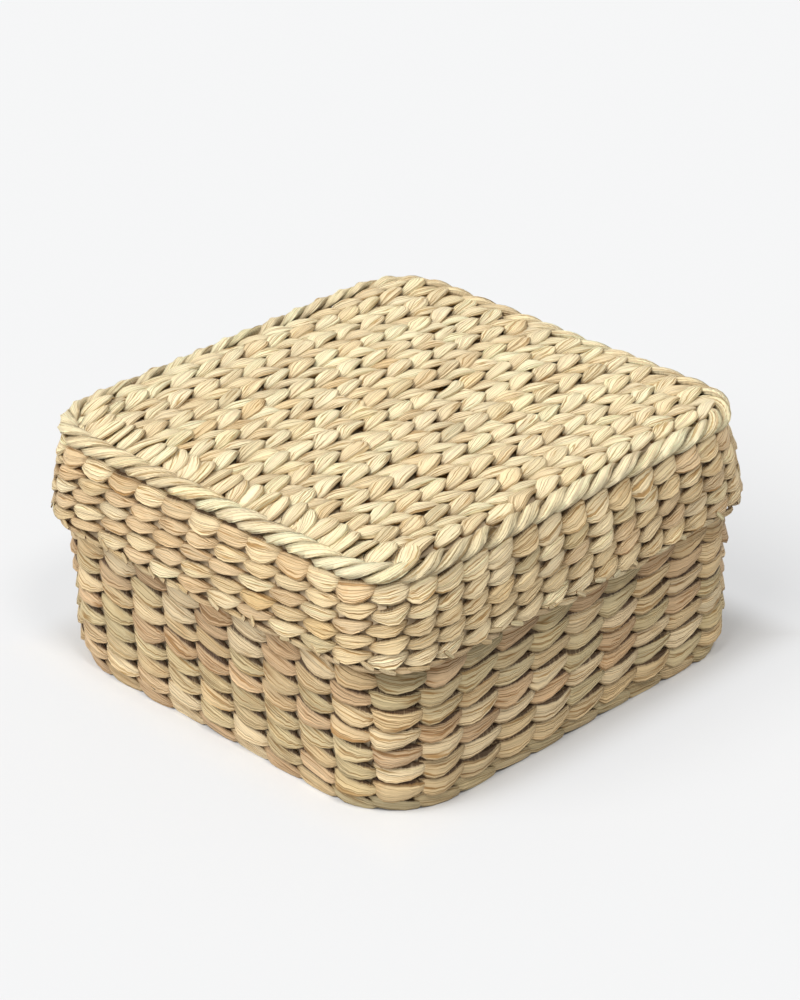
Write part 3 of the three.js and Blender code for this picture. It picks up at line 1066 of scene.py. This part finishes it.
class WOVEN_OT_base_rounds(bpy.types.Operator):
    """Twine the rounds of the base wall, each a pair of strands"""

    bl_idname = "woven.base_rounds"
    bl_label = "Base rounds"

    def execute(self, context):
        weave = context.scene.woven_base
        wall = base_wall(context.scene)
        material = leaf_material(*BASE_LEAF)
        palette = leaf_palette(context.scene, "straw", "pale", "green", "tan", "ochre")
        palette = [np.multiply(BASE_SHADE, colour) for colour in palette]
        row = node_height("base_round_02")[1] + ROUND_GAP
        stitch = model_stitch(
            "base_stitch", BASE_PITCH, weave.crest, weave.strand, row,
            slant=0.1 * MM, overlap=weave.overlap, form=SCALE,
        )
        band = model_stitch(
            "base_side_stitch", BASE_PITCH, weave.crest, weave.strand, row,
            slant=weave.slant, overlap=weave.overlap, form=BAND,
        )
        under = model_stitch(
            "base_stitch_under_lid", BASE_PITCH, crest=3.4 * MM, strand=2.2 * MM, row=row,
            slant=1.3 * MM, overlap=0.5 * MM, form=SEED,
        )
        foot = model_stitch(
            "base_foot_stitch", BASE_PITCH, weave.crest, strand=1.8 * MM, row=row * 0.96,
            slant=1.8 * MM, overlap=0.5 * MM, form=FOOT,
        )

        def by_side(along):
            """Share of the side stitch, from none at the front and back to all at the sides."""
            return 0.5 - 0.5 * np.clip(2.0 * side_wave(along, wall.counts), -1, 1)

        twining = Twining(
            weave.shingle, crest_in=0.72, sag=weave.sag, rough=WALL_ROUGHNESS, blend=(band, by_side)
        )
        colouring = (palette, (4.0, 1.4, 2.2, 2.2, 0.2), 0.85)
        shown = RoundPlan(
            wall, twining, wave=0.45 * MM, seed=11, lowest=0.3 * MM, colouring=colouring
        )
        lowest = shown._replace(
            twining=twining._replace(shingle=0.5 * weave.shingle, sag=0.0, blend=None)
        )
        hidden = shown._replace(twining=EVEN_TWINING, wave=0.1 * MM)
        for number in range(1, BASE_ROUNDS + 1):
            shape, plan = stitch, shown
            if number == 1:
                shape, plan = foot, lowest
            elif number == SHOWN_ROUNDS:
                # The last round that shows gets less painted shade at its upper edge
                shape = dict(stitch, tuck=0.7)
            elif number > SHOWN_ROUNDS:
                shape, plan = under, hidden
            node = f"base_round_{number:02d}"
            random = np.random.default_rng(100 + number)
            phase = random.normal(0.0, PHASE_SPREAD)
            weaving = Weaving()
            lay_round(weaving, shape, plan, node_height(node)[0], phase, -1.0, random)
            weaving.piece(node + "_weave", material, "base", [node])
        return {"FINISHED"}


class WOVEN_OT_base_rim(bpy.types.Operator):
    """Twine the thin round that closes the top of the base"""

    bl_idname = "woven.base_rim"
    bl_label = "Base rim"

    def execute(self, context):
        material = leaf_material(*BASE_LEAF)
        palette = leaf_palette(context.scene, "straw", "green", "tan")
        height, row = node_height("base_rim")
        stitch = model_stitch(
            "base_rim_stitch", BASE_PITCH, crest=3.3 * MM, strand=3.0 * MM, row=row,
            slant=0.9 * MM, overlap=0.2 * MM, form=SEED,
        )
        plan = RoundPlan(
            base_wall(context.scene), EVEN_TWINING, wave=0.1 * MM, seed=11, lowest=0.0,
            colouring=(palette, (3.0, 2.0, 2.0), 0.8),
        )
        weaving = Weaving()
        lay_round(weaving, stitch, plan, height, 0.0, 1.0, np.random.default_rng(190))
        weaving.piece("base_rim_weave", material, "base", ["base_rim"])
        return {"FINISHED"}


class WOVEN_OT_lid_rounds(bpy.types.Operator):
    """Twine the rounds of the lid side and its thin rim"""

    bl_idname = "woven.lid_rounds"
    bl_label = "Lid rounds and rim"

    def execute(self, context):
        weave = context.scene.woven_lid
        wall = lid_wall(context.scene)
        material = leaf_material(*LID_LEAF)
        palette = leaf_palette(context.scene, "straw", "pale", "green", "tan", "ochre")
        row = node_height("lid_round_02")[1] + ROUND_GAP
        stitch = model_stitch(
            "lid_stitch", LID_PITCH, weave.crest, weave.strand, row,
            weave.slant, weave.overlap, form=SEED,
        )
        tall_stitch = model_stitch(
            "lid_stitch_by_rope", LID_PITCH, weave.crest + ROPE_ROUND_STAND, weave.strand,
            row + ROPE_ROUND_EXTRA, weave.slant, weave.overlap, form=FULL_SEED,
        )
        rim_height, rim_row = node_height("lid_rim")
        rim_stitch = model_stitch(
            "lid_rim_stitch", LID_PITCH, crest=3.0 * MM, strand=2.4 * MM, row=rim_row,
            slant=0.7 * MM, overlap=0.2 * MM, form=SEED,
        )

        def slant(along):
            """Steeper at the front and back, where the stakes stand closer."""
            return 1.0 + 0.55 * side_wave(along, wall.counts)

        twining = Twining(
            weave.shingle, crest_in=0.6, sag=weave.sag, rough=WALL_ROUGHNESS, slant=slant
        )
        plan = RoundPlan(
            wall, twining, wave=0.45 * MM, seed=21, lowest=0.0,
            colouring=(palette, (4.0, 3.4, 1.0, 1.6, 0.2), 0.6),
        )
        for number in range(1, LID_ROUNDS + 1):
            node = f"lid_round_{number:02d}"
            shape, height = stitch, node_height(node)[0]
            if number == 1:
                shape, height = tall_stitch, height + ROPE_ROUND_EXTRA / 2
            random = np.random.default_rng(200 + number)
            phase = random.normal(0.0, PHASE_SPREAD)
            weaving = Weaving()
            lay_round(weaving, shape, plan, height, phase, 1.0, random)
            weaving.piece(node + "_weave", material, "lid", [node])
        random = np.random.default_rng(290)
        plan = plan._replace(twining=twining._replace(shingle=0.0, sag=0.0))
        weaving = Weaving()
        lay_round(weaving, rim_stitch, plan, rim_height, 0.3, -1.0, random)
        lay_ends(weaving, wall, rim_height, palette[:2], random)
        weaving.piece("lid_rim_weave", material, "lid", ["lid_rim"])
        return {"FINISHED"}


def lay_ends(weaving, wall, height, palette, random):
    """Lays the short trimmed ends of strands that show along the rim of the lid."""
    rings = [(x * MM, 0.0, 0.0, depth * MM, tall * MM) for x, depth, tall in TRIMMED_END]
    end = read_strand(model_strand("trimmed_end", rings, True), rings)
    count = TRIMMED_ENDS
    length = 8 * wall.levels[0, 1]
    angle = np.radians(random.normal(*TRIMMED_ANGLE, count))[:, None]
    size = random.normal(*TRIMMED_SIZE, count)[:, None]
    along = end["along"] * size * np.cos(angle) - end["up"] * np.sin(angle)
    rise = end["along"] * size * np.sin(angle) + end["up"] * np.cos(angle)
    place = (np.arange(count) + random.uniform(-0.45, 0.45, count))[:, None] / count
    slope = random.normal(*TRIMMED_SLOPE, count)[:, None]
    out = TRIMMED_STAND + end["out"] + slope * end["along"]
    level = height + random.normal(*TRIMMED_HEIGHT, count)[:, None] + rise
    level = np.maximum(level, TRIMMED_LOWEST)
    points = wall_place(wall, place + along / length, out, level)
    colours = strand_colours(random, count, palette, (1.0,) * len(palette), 0.8)
    starts = random.uniform(0.0, 9.0, count)
    weaving.add(end, points, starts, np.clip(1.05 * colours, 0.0, 1.0), starts / 9.0, (1.0, 0.0))


def mat_reach(y, edge, corner):
    """Half length of a row of a mat with rounded corners, at a place across the rows."""
    past = max(abs(y) - (edge - corner), 0.0)
    return edge - corner + math.sqrt(max(corner**2 - past**2, 0.0))


def lay_mat(weave, plan):
    """Lays the chevron rows of a mat: each row is two half rows of opposite slant."""
    material = leaf_material(*plan.finish)
    low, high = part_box(f"{plan.stem}_row_07")
    half_row = (high.y - low.y + ROUND_GAP) / 2
    middle = (low.z + high.z) / 2
    rising = model_stitch(
        plan.stem + "_stitch", weave.pitch, weave.crest + MAT_STEP, weave.strand,
        half_row * RISING_HEIGHT, weave.slant, MAT_OVERLAP, RIBBON,
    )
    falling = model_stitch(
        plan.stem + "_return_stitch", weave.pitch, weave.crest - MAT_STEP, weave.strand,
        half_row, weave.slant * FALLING_SLANT, MAT_OVERLAP, LEAF,
    )
    twining = Twining(weave.shingle, crest_in=0.9, sag=0.0, rough=MAT_ROUGHNESS)
    for number in range(1, MAT_ROWS + 1):
        node = f"{plan.stem}_row_{number:02d}"
        low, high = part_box(node)
        weaving = Weaving()
        random = np.random.default_rng(plan.seed + number)
        for half, direction, stitch in ((0, 1.0, rising), (1, -1.0, falling)):
            y = MAT_SPREAD * (low.y + half_row * (half + 0.5))
            outer = mat_reach(y, plan.edge, plan.corner)
            fade = 1.0 - (y / plan.edge) ** 2
            start = -outer + (weave.loop_width if plan.loops else 0.0)
            count = max(2, int(round((outer - start) / weave.pitch)))
            pitch = (outer - start) / count
            pair = twined(stitch, count, direction, twining, random)
            x = start + (pair.along + 0.5) * pitch
            sway = MAT_SWAY * np.sin(x * 31 + 0.35 * number + plan.seed)
            sway = sway + MAT_RIPPLE * np.sin(x * 83 + number)
            sway = sway - weave.skew * x * fade
            heave = MAT_HEAVE * np.sin(x * 43 + y * 37 + plan.seed)
            if plan.loops:
                heave = heave + weave.dome * (1.0 - (x / plan.edge) ** 2) * fade
            level = np.maximum(middle + pair.out + heave, MAT_LOWEST)
            points = np.stack((x, y + pair.up + sway, level), -1)
            add_pair(weaving, stitch, pair, points, plan.colouring, random)
            if plan.loops:
                skewed = y + weave.skew * outer * fade
                turning = mat_reach(skewed, plan.edge, plan.corner + LOOP_ROUNDING)
                for inward, across, drop in LOOPS:
                    lay_loop(
                        weaving, rising, inward - turning, skewed + across * half_row,
                        middle - drop, weave.loop_width, plan.colouring[0][0], random,
                    )
        weaving.piece(node + "_weave", material, plan.body, [node])


def lay_loop(weaving, stitch, edge, y, middle, width, colour, random):
    """Lays the ribbon that turns back at the end of a half row, out of the rope."""
    share = stitch["along"] * LOOP_LENGTH
    x = edge + (share + 0.5) * width + random.normal(*LOOP_SHIFT)
    climb = stitch["middle_up"] * random.normal(*LOOP_CLIMB)
    section = (stitch["up"] - stitch["middle_up"]) * random.normal(*LOOP_SIZE)
    folds = random.normal(*LOOP_FOLDS, SIDES)[stitch["column"]] * stitch["weight"]
    tip = random.normal(*LOOP_TIP) * stitch["broad"]
    z = middle + stitch["out"] * random.normal(*LOOP_RISE) + folds + tip * section
    across = y + section + climb + random.normal(*LOOP_ASIDE)
    points = np.stack((x, across, z), -1)[None]
    colours = np.clip(np.array(colour) * (1.0 + random.normal(0.0, 0.03)), 0, 1)[None]
    starts = np.array((random.uniform(0, 9),))
    seeds = random.uniform(0.0, 1.0, 1)
    # Painted shade where the loop goes in and at its edges
    traits = np.stack((stitch["clear"], painted_shade_level(stitch["level"], LOOP_EDGE_SHADE)), -1)
    weaving.add(stitch, points, starts, colours, seeds, traits)


class WOVEN_OT_lid_top(bpy.types.Operator):
    """Twine the chevron rows of the lid top and the loops along its left edge"""

    bl_idname = "woven.lid_top"
    bl_label = "Lid top rows"

    def execute(self, context):
        palette = leaf_palette(context.scene, "pale", "straw", "green", "ochre")
        plan = MatPlan(
            stem="lid_top",
            body="lid",
            slot="lid_top_weave",
            finish=LID_TOP_LEAF,
            colouring=(palette, (7.0, 2.4, 0.6, 0.35), 0.5),
            edge=0.1150,
            corner=0.021,
            loops=True,
            seed=300,
        )
        lay_mat(context.scene.woven_mat, plan)
        return {"FINISHED"}


class WOVEN_OT_base_floor(bpy.types.Operator):
    """Twine the chevron rows of the floor"""

    bl_idname = "woven.base_floor"
    bl_label = "Floor rows"

    def execute(self, context):
        palette = leaf_palette(context.scene, "straw", "pale", "green", "tan")
        plan = MatPlan(
            stem="base_floor",
            body="base",
            slot="floor_weave",
            finish=FLOOR_LEAF,
            colouring=(palette, (4.0, 2.0, 2.0, 2.0), 0.5),
            edge=0.1135,
            corner=0.034,
            loops=False,
            seed=400,
        )
        lay_mat(context.scene.woven_mat, plan)
        return {"FINISHED"}


class WOVEN_OT_lid_rope(bpy.types.Operator):
    """Wind the strands of the rope border round the top edge of the lid"""

    bl_idname = "woven.lid_rope"
    bl_label = "Rope border"

    def execute(self, context):
        rope = context.scene.woven_rope
        material = leaf_material(*ROPE_LEAF)
        palette = leaf_palette(context.scene, "pale", "straw", "green")
        low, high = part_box("lid_rope_border")
        height = (low.z + high.z) / 2
        radius = (high.z - low.z) / 2
        outer = high.x - radius + 1.2 * MM
        corner = ROPE_CORNER - radius
        core = Wall(np.array(((0.0, outer, corner), (1.0, outer, corner))), 0.0, 0.0, None)
        length = 8 * (outer - corner) + FULL_TURN * corner
        strand = model_rope_strand("rope_strand", rope.depth, rope.width)
        random = np.random.default_rng(500)
        count = rope.strands
        share = strand["along"][None, :]
        start = (np.arange(count) / count)[:, None]
        longer, further, later, wider = (
            random.normal(0.0, spread, count)[:, None] for spread in ROPE_SPREADS
        )
        reach = rope.reach * (1.0 + longer)
        spin = rope.turn * (1.0 + further)
        first = ROPE_FIRST_ANGLE + later
        side = strand["up"][None, :] * (1.0 + wider)
        angle = first + share * spin / 2 + side / ROPE_BEND
        carry = (1.22 * radius - rope.depth * 0.5) * (1.0 - 0.45 * np.abs(share) ** 4)
        stand = carry + strand["out"][None, :]
        turn = start + share * reach / 2 / length
        points = wall_place(core, turn, stand * np.cos(angle), np.full(turn.shape, height))
        level = height - 0.9 * MM + 0.80 * stand * np.sin(angle)
        level = level + 0.5 * MM * wobble(turn, 0.0, 31)
        points[..., 2] = np.maximum(level, low.z + 0.2 * MM)
        colours = 1.03 * strand_colours(random, count, palette, (6.0, 1.8, 0.5), 0.6)
        starts = random.uniform(0.0, 9.0, count)
        seeds = random.uniform(0.0, 1.0, count)
        # Painted shade at the ends of a strand, where it goes under its neighbours, and along its
        # edges, in the grooves
        clear = np.clip(1.2 - np.abs(strand["along"]) ** 2, 0.0, 1.0)
        tuck = np.abs(strand["up"] / strand["half_height"])
        weaving = Weaving()
        weaving.add(strand, points, starts, colours, seeds, np.stack((clear, tuck), -1))
        weaving.piece(
            "lid_rope_weave", material, "lid", ["lid_rope_border"], crisp=80.0
        )
        return {"FINISHED"}


def stake_strip(path, width):
    """Models one flat stake along a path of points and outward directions, with lengthwise ribs."""
    deselect_all()
    steps = len(path) - 1
    columns = STAKE_COLUMNS - 1
    bpy.ops.mesh.primitive_grid_add(x_subdivisions=columns, y_subdivisions=steps, size=2.0)
    strip = bpy.context.active_object
    for vertex in strip.data.vertices:
        step = int(round((vertex.co.y + 1.0) / 2.0 * steps))
        column = int(round((vertex.co.x + 1.0) / 2.0 * columns))
        point, outward, across = path[step]
        rib = STAKE_RIB * (1 if column % 2 else -1)
        vertex.co = point + across * (width / 2 * vertex.co.x) + outward * rib
    solid = strip.modifiers.new("Thickness", "SOLIDIFY")
    solid.thickness = STAKE_THICKNESS
    solid.offset = 0.0
    bpy.ops.object.modifier_apply(modifier=solid.name)
    return strip


def join_stakes(strips, body, node, material):
    """Joins the strips of one set and lets them stand for their CAD node."""
    deselect_all()
    for strip in strips:
        strip.select_set(True)
    bpy.context.view_layer.objects.active = strips[0]
    bpy.ops.object.join()
    joined = bpy.context.active_object
    joined.name = node + "_leaf"
    joined.data.name = joined.name
    joined.data.materials.append(material)
    finish_piece(joined, body, [node], 50.0)


def wall_run(wall, quarter, place, heights):
    """Path of a stake up one side, as points with their outward and sideways directions.

    Quarter is 0 for the front, 1 for the right, 2 for the back and 3 for the left.
    """
    turn = Matrix.Rotation(quarter * math.pi / 2, 3, "Z")
    outward = turn @ Vector((0.0, -1.0, 0.0))
    right = turn @ Vector((1.0, 0.0, 0.0))
    path = []
    for z in heights:
        half, corner = wall_size(wall, z)
        stand = half + side_bow(wall, z, place / (half - corner))
        point = outward * float(stand) + right * place + Vector((0.0, 0.0, z))
        path.append((point, outward, right))
    return path


def corner_run(wall, turn, heights):
    """Path of a stake up a rounded corner."""
    flat = wall._replace(bow=0.0)
    path = []
    for z in heights:
        before, point, after = (
            Vector(wall_place(flat, np.array(turn + step), 0.0, np.array(z)))
            for step in (-0.002, 0.0, 0.002)
        )
        right = (after - before).normalized()
        path.append((point, right.cross(Vector((0.0, 0.0, 1.0))), right))
    return path


def panel_run(place, reach, height, outward):
    """Path of a stake across the floor or the lid top, from the front to the back."""
    upward = Vector((0.0, 0.0, outward))
    right = Vector((1.0, 0.0, 0.0))
    return [
        (Vector((place, share * reach, height)), upward, right)
        for share in np.linspace(-STAKE_REACH, STAKE_REACH, STAKE_STEPS).tolist()
    ]


class WOVEN_OT_stakes(bpy.types.Operator):
    """Lay the flat brown stakes that the strands are twined round"""

    bl_idname = "woven.stakes"
    bl_label = "Stakes"

    def execute(self, context):
        scene = context.scene
        # The stakes keep the plain brown material stake_leaf, which is already loaded and which this
        # script does not make
        material = bpy.data.materials["stake_leaf"]
        wall = base_wall(scene)
        base = StakePlan(
            wall=wall._replace(thickness=wall.thickness - 1.6 * MM),
            pitch=0.020,
            count=7,
            low=0.006,
            high=0.115,
            side_high=0.115,
            panel=0.0035,
            outward=-1.0,
            extra=((1, 0.108), (2, 0.098)),
        )
        lid = StakePlan(
            wall=lid_wall(scene),
            pitch=0.0146,
            count=11,
            low=0.0805,
            high=0.1175,
            side_high=0.1222,
            panel=0.124,
            outward=1.0,
            extra=((1, 0.118), (2, 0.110), (2.5, 0.098)),
        )
        self.lay_set("base", base, material)
        self.lay_set("lid", lid, material)
        return {"FINISHED"}

    def lay_set(self, body, plan, material):
        """Lays the lengthwise, right and left stakes of the base or the lid."""
        width = plan.pitch - STAKE_GAP
        places = ((np.arange(plan.count) - (plan.count - 1) / 2) * plan.pitch).tolist()
        heights = np.linspace(plan.low, plan.high, STAKE_STEPS).tolist()
        if body == "base":
            heights.reverse()
        strips = []
        for place in places:
            front = wall_run(plan.wall, 0, place, heights)
            back = wall_run(plan.wall, 2, -place, heights[::-1])
            across = panel_run(place, -front[-1][0].y, plan.panel, plan.outward)
            mirrored = [(point, out, -right) for point, out, right in back]
            strips.append(stake_strip(front + across + mirrored, width))
        for step, reach in plan.extra:
            for place in (places[0] - step * plan.pitch, places[-1] + step * plan.pitch):
                across = panel_run(place, reach, plan.panel, plan.outward)
                strips.append(stake_strip(across, width))
        join_stakes(strips, body, body + "_stakes_long", material)
        heights = np.linspace(plan.low, plan.side_high, STAKE_STEPS).tolist()
        for side, quarter in (("right", 1), ("left", 3)):
            strips = [
                stake_strip(wall_run(plan.wall, quarter, place, heights), width)
                for place in places
            ]
            for corner in (quarter - 0.5, quarter + 0.5):
                for step in (-1.5, -0.5, 0.5, 1.5):
                    turn = corner / 4 + step * CORNER_STAKE_TURN
                    path = corner_run(plan.wall, turn, heights)
                    strips.append(stake_strip(path, CORNER_STAKE))
            join_stakes(strips, body, f"{body}_stakes_{side}", material)


def paper_material(stage):
    """Pale paper that glows a little away from the box, so that the shadow there stays light."""
    material, tree, shader = new_material("stage_paper")
    links = tree.links
    shader.inputs["Roughness"].default_value = 0.95
    shader.inputs["Specular IOR Level"].default_value = 0.0
    bounce = tuple(stage.floor_bounce) + (1.0,)
    colour = tuple(stage.floor_colour) + (1.0,)
    path = tree.nodes.new("ShaderNodeLightPath").outputs
    seen = math_node(tree, "MAXIMUM", path["Is Camera Ray"], path["Is Glossy Ray"])
    paper = colour_mix(tree, "MIX", seen, bounce, colour)
    links.new(paper, shader.inputs["Base Color"])
    glow = tree.nodes.new("ShaderNodeEmission")
    glow.inputs["Color"].default_value = colour
    glow.inputs["Strength"].default_value = GLOW_STRENGTH
    x, y, _ = split_node(tree, tree.nodes.new("ShaderNodeTexCoord").outputs["Object"])
    away = math_node(
        tree, "MAXIMUM", math_node(tree, "ABSOLUTE", x), math_node(tree, "ABSOLUTE", y)
    )
    lifted = range_node(tree, away, GLOW_START, GLOW_FULL, 0.0, stage.floor_glow, smooth=True)
    both = tree.nodes.new("ShaderNodeMixShader")
    links.new(math_node(tree, "MULTIPLY", seen, lifted), both.inputs[0])
    links.new(shader.outputs[0], both.inputs[1])
    links.new(glow.outputs[0], both.inputs[2])
    links.new(both.outputs[0], tree.nodes["Material Output"].inputs["Surface"])
    return material


def add_sun(name, location, towards, strength, spread, colour):
    """Adds a wide, soft light that shines in one direction."""
    bpy.ops.object.light_add(type="SUN", location=location)
    sun = bpy.context.active_object
    sun.name = name
    sun.data.energy = strength
    sun.data.angle = spread
    sun.data.color = colour
    sun.rotation_mode = "QUATERNION"
    sun.rotation_quaternion = Vector(towards).to_track_quat("-Z", "Y")


def add_camera(stage):
    """Adds the camera at the photo's angle."""
    bpy.ops.object.camera_add()
    camera = bpy.context.active_object
    camera.name = "photo_camera"
    camera.data.sensor_width = stage.sensor
    camera.data.lens = stage.lens
    camera.data.clip_start = 0.05
    camera.data.clip_end = 50.0
    az, el = stage.azimuth, stage.elevation
    back = Vector((math.sin(az) * math.cos(el), -math.cos(az) * math.cos(el), math.sin(el)))
    right = Vector((math.cos(az), math.sin(az), 0.0))
    up = back.cross(right)
    tilted_right = math.cos(stage.roll) * right + math.sin(stage.roll) * up
    tilted_up = -math.sin(stage.roll) * right + math.cos(stage.roll) * up
    spin = Matrix((tilted_right, tilted_up, back)).transposed()
    place = Vector(stage.target) + stage.distance * back
    camera.matrix_world = Matrix.Translation(place) @ spin.to_4x4()
    return camera


class WOVEN_OT_stage(bpy.types.Operator):
    """Set the pale floor, the soft light and the camera"""

    bl_idname = "woven.stage"
    bl_label = "Stage"

    def execute(self, context):
        scene = context.scene
        stage = scene.woven_stage
        deselect_all()
        bpy.ops.mesh.primitive_plane_add(size=12.0, location=(0.0, 0.0, 0.0))
        floor = context.active_object
        floor.name = "stage_floor"
        floor.data.materials.append(paper_material(stage))
        add_sun(
            "key_light", location=(-1.0, 0.0, 1.5), towards=(0.84, -0.14, -1.0),
            strength=stage.key_strength, spread=stage.key_spread, colour=(1.0, 0.985, 0.96),
        )
        add_sun(
            "fill_light", location=(0.0, -1.0, 1.5), towards=(0.15, 0.60, -1.0),
            strength=stage.fill_strength, spread=stage.fill_spread, colour=(1.0, 0.98, 0.95),
        )
        scene.world = scene.world or bpy.data.worlds.new("studio")
        scene.world.use_nodes = True
        sky = scene.world.node_tree.nodes["Background"]
        sky.inputs["Color"].default_value = (1.0, 0.985, 0.96, 1.0)
        sky.inputs["Strength"].default_value = stage.sky_strength
        scene.camera = add_camera(stage)
        scene.view_settings.view_transform = "Standard"
        return {"FINISHED"}


class WOVEN_PT_panel(bpy.types.Panel):
    """Lists the steps that weave the box"""

    bl_idname = "WOVEN_PT_panel"
    bl_label = "Woven box"
    bl_space_type = "VIEW_3D"
    bl_region_type = "UI"
    bl_category = "Woven box"

    def draw(self, context):
        for operator in OPERATORS:
            self.layout.operator(operator.bl_idname)
        for group in GROUPS:
            settings = getattr(context.scene, group)
            box = self.layout.box()
            for name in settings.__annotations__:
                box.prop(settings, name)


OPERATORS = (
    WOVEN_OT_base_rounds,
    WOVEN_OT_base_rim,
    WOVEN_OT_base_floor,
    WOVEN_OT_lid_rounds,
    WOVEN_OT_lid_top,
    WOVEN_OT_lid_rope,
    WOVEN_OT_stakes,
    WOVEN_OT_stage,
)
GROUPS = {
    "woven_base": BaseWeave,
    "woven_lid": LidWeave,
    "woven_mat": MatWeave,
    "woven_rope": RopeBorder,
    "woven_colours": LeafColours,
    "woven_stage": StudioStage,
}


def register():
    """Registers the settings, the operators and the panel."""
    for name, group in GROUPS.items():
        bpy.utils.register_class(group)
        setattr(bpy.types.Scene, name, PointerProperty(type=group))
    for operator in OPERATORS:
        bpy.utils.register_class(operator)
    bpy.utils.register_class(WOVEN_PT_panel)


def unregister():
    """Takes the panel, the operators and the settings away again."""
    bpy.utils.unregister_class(WOVEN_PT_panel)
    for operator in reversed(OPERATORS):
        bpy.utils.unregister_class(operator)
    for name, group in GROUPS.items():
        delattr(bpy.types.Scene, name)
        bpy.utils.unregister_class(group)


def main():
    """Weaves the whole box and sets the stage."""
    register()
    bpy.ops.woven.base_rounds()
    bpy.ops.woven.base_rim()
    bpy.ops.woven.base_floor()
    bpy.ops.woven.lid_rounds()
    bpy.ops.woven.lid_top()
    bpy.ops.woven.lid_rope()
    bpy.ops.woven.stakes()
    bpy.ops.woven.stage()


if __name__ == "__main__":
    main()
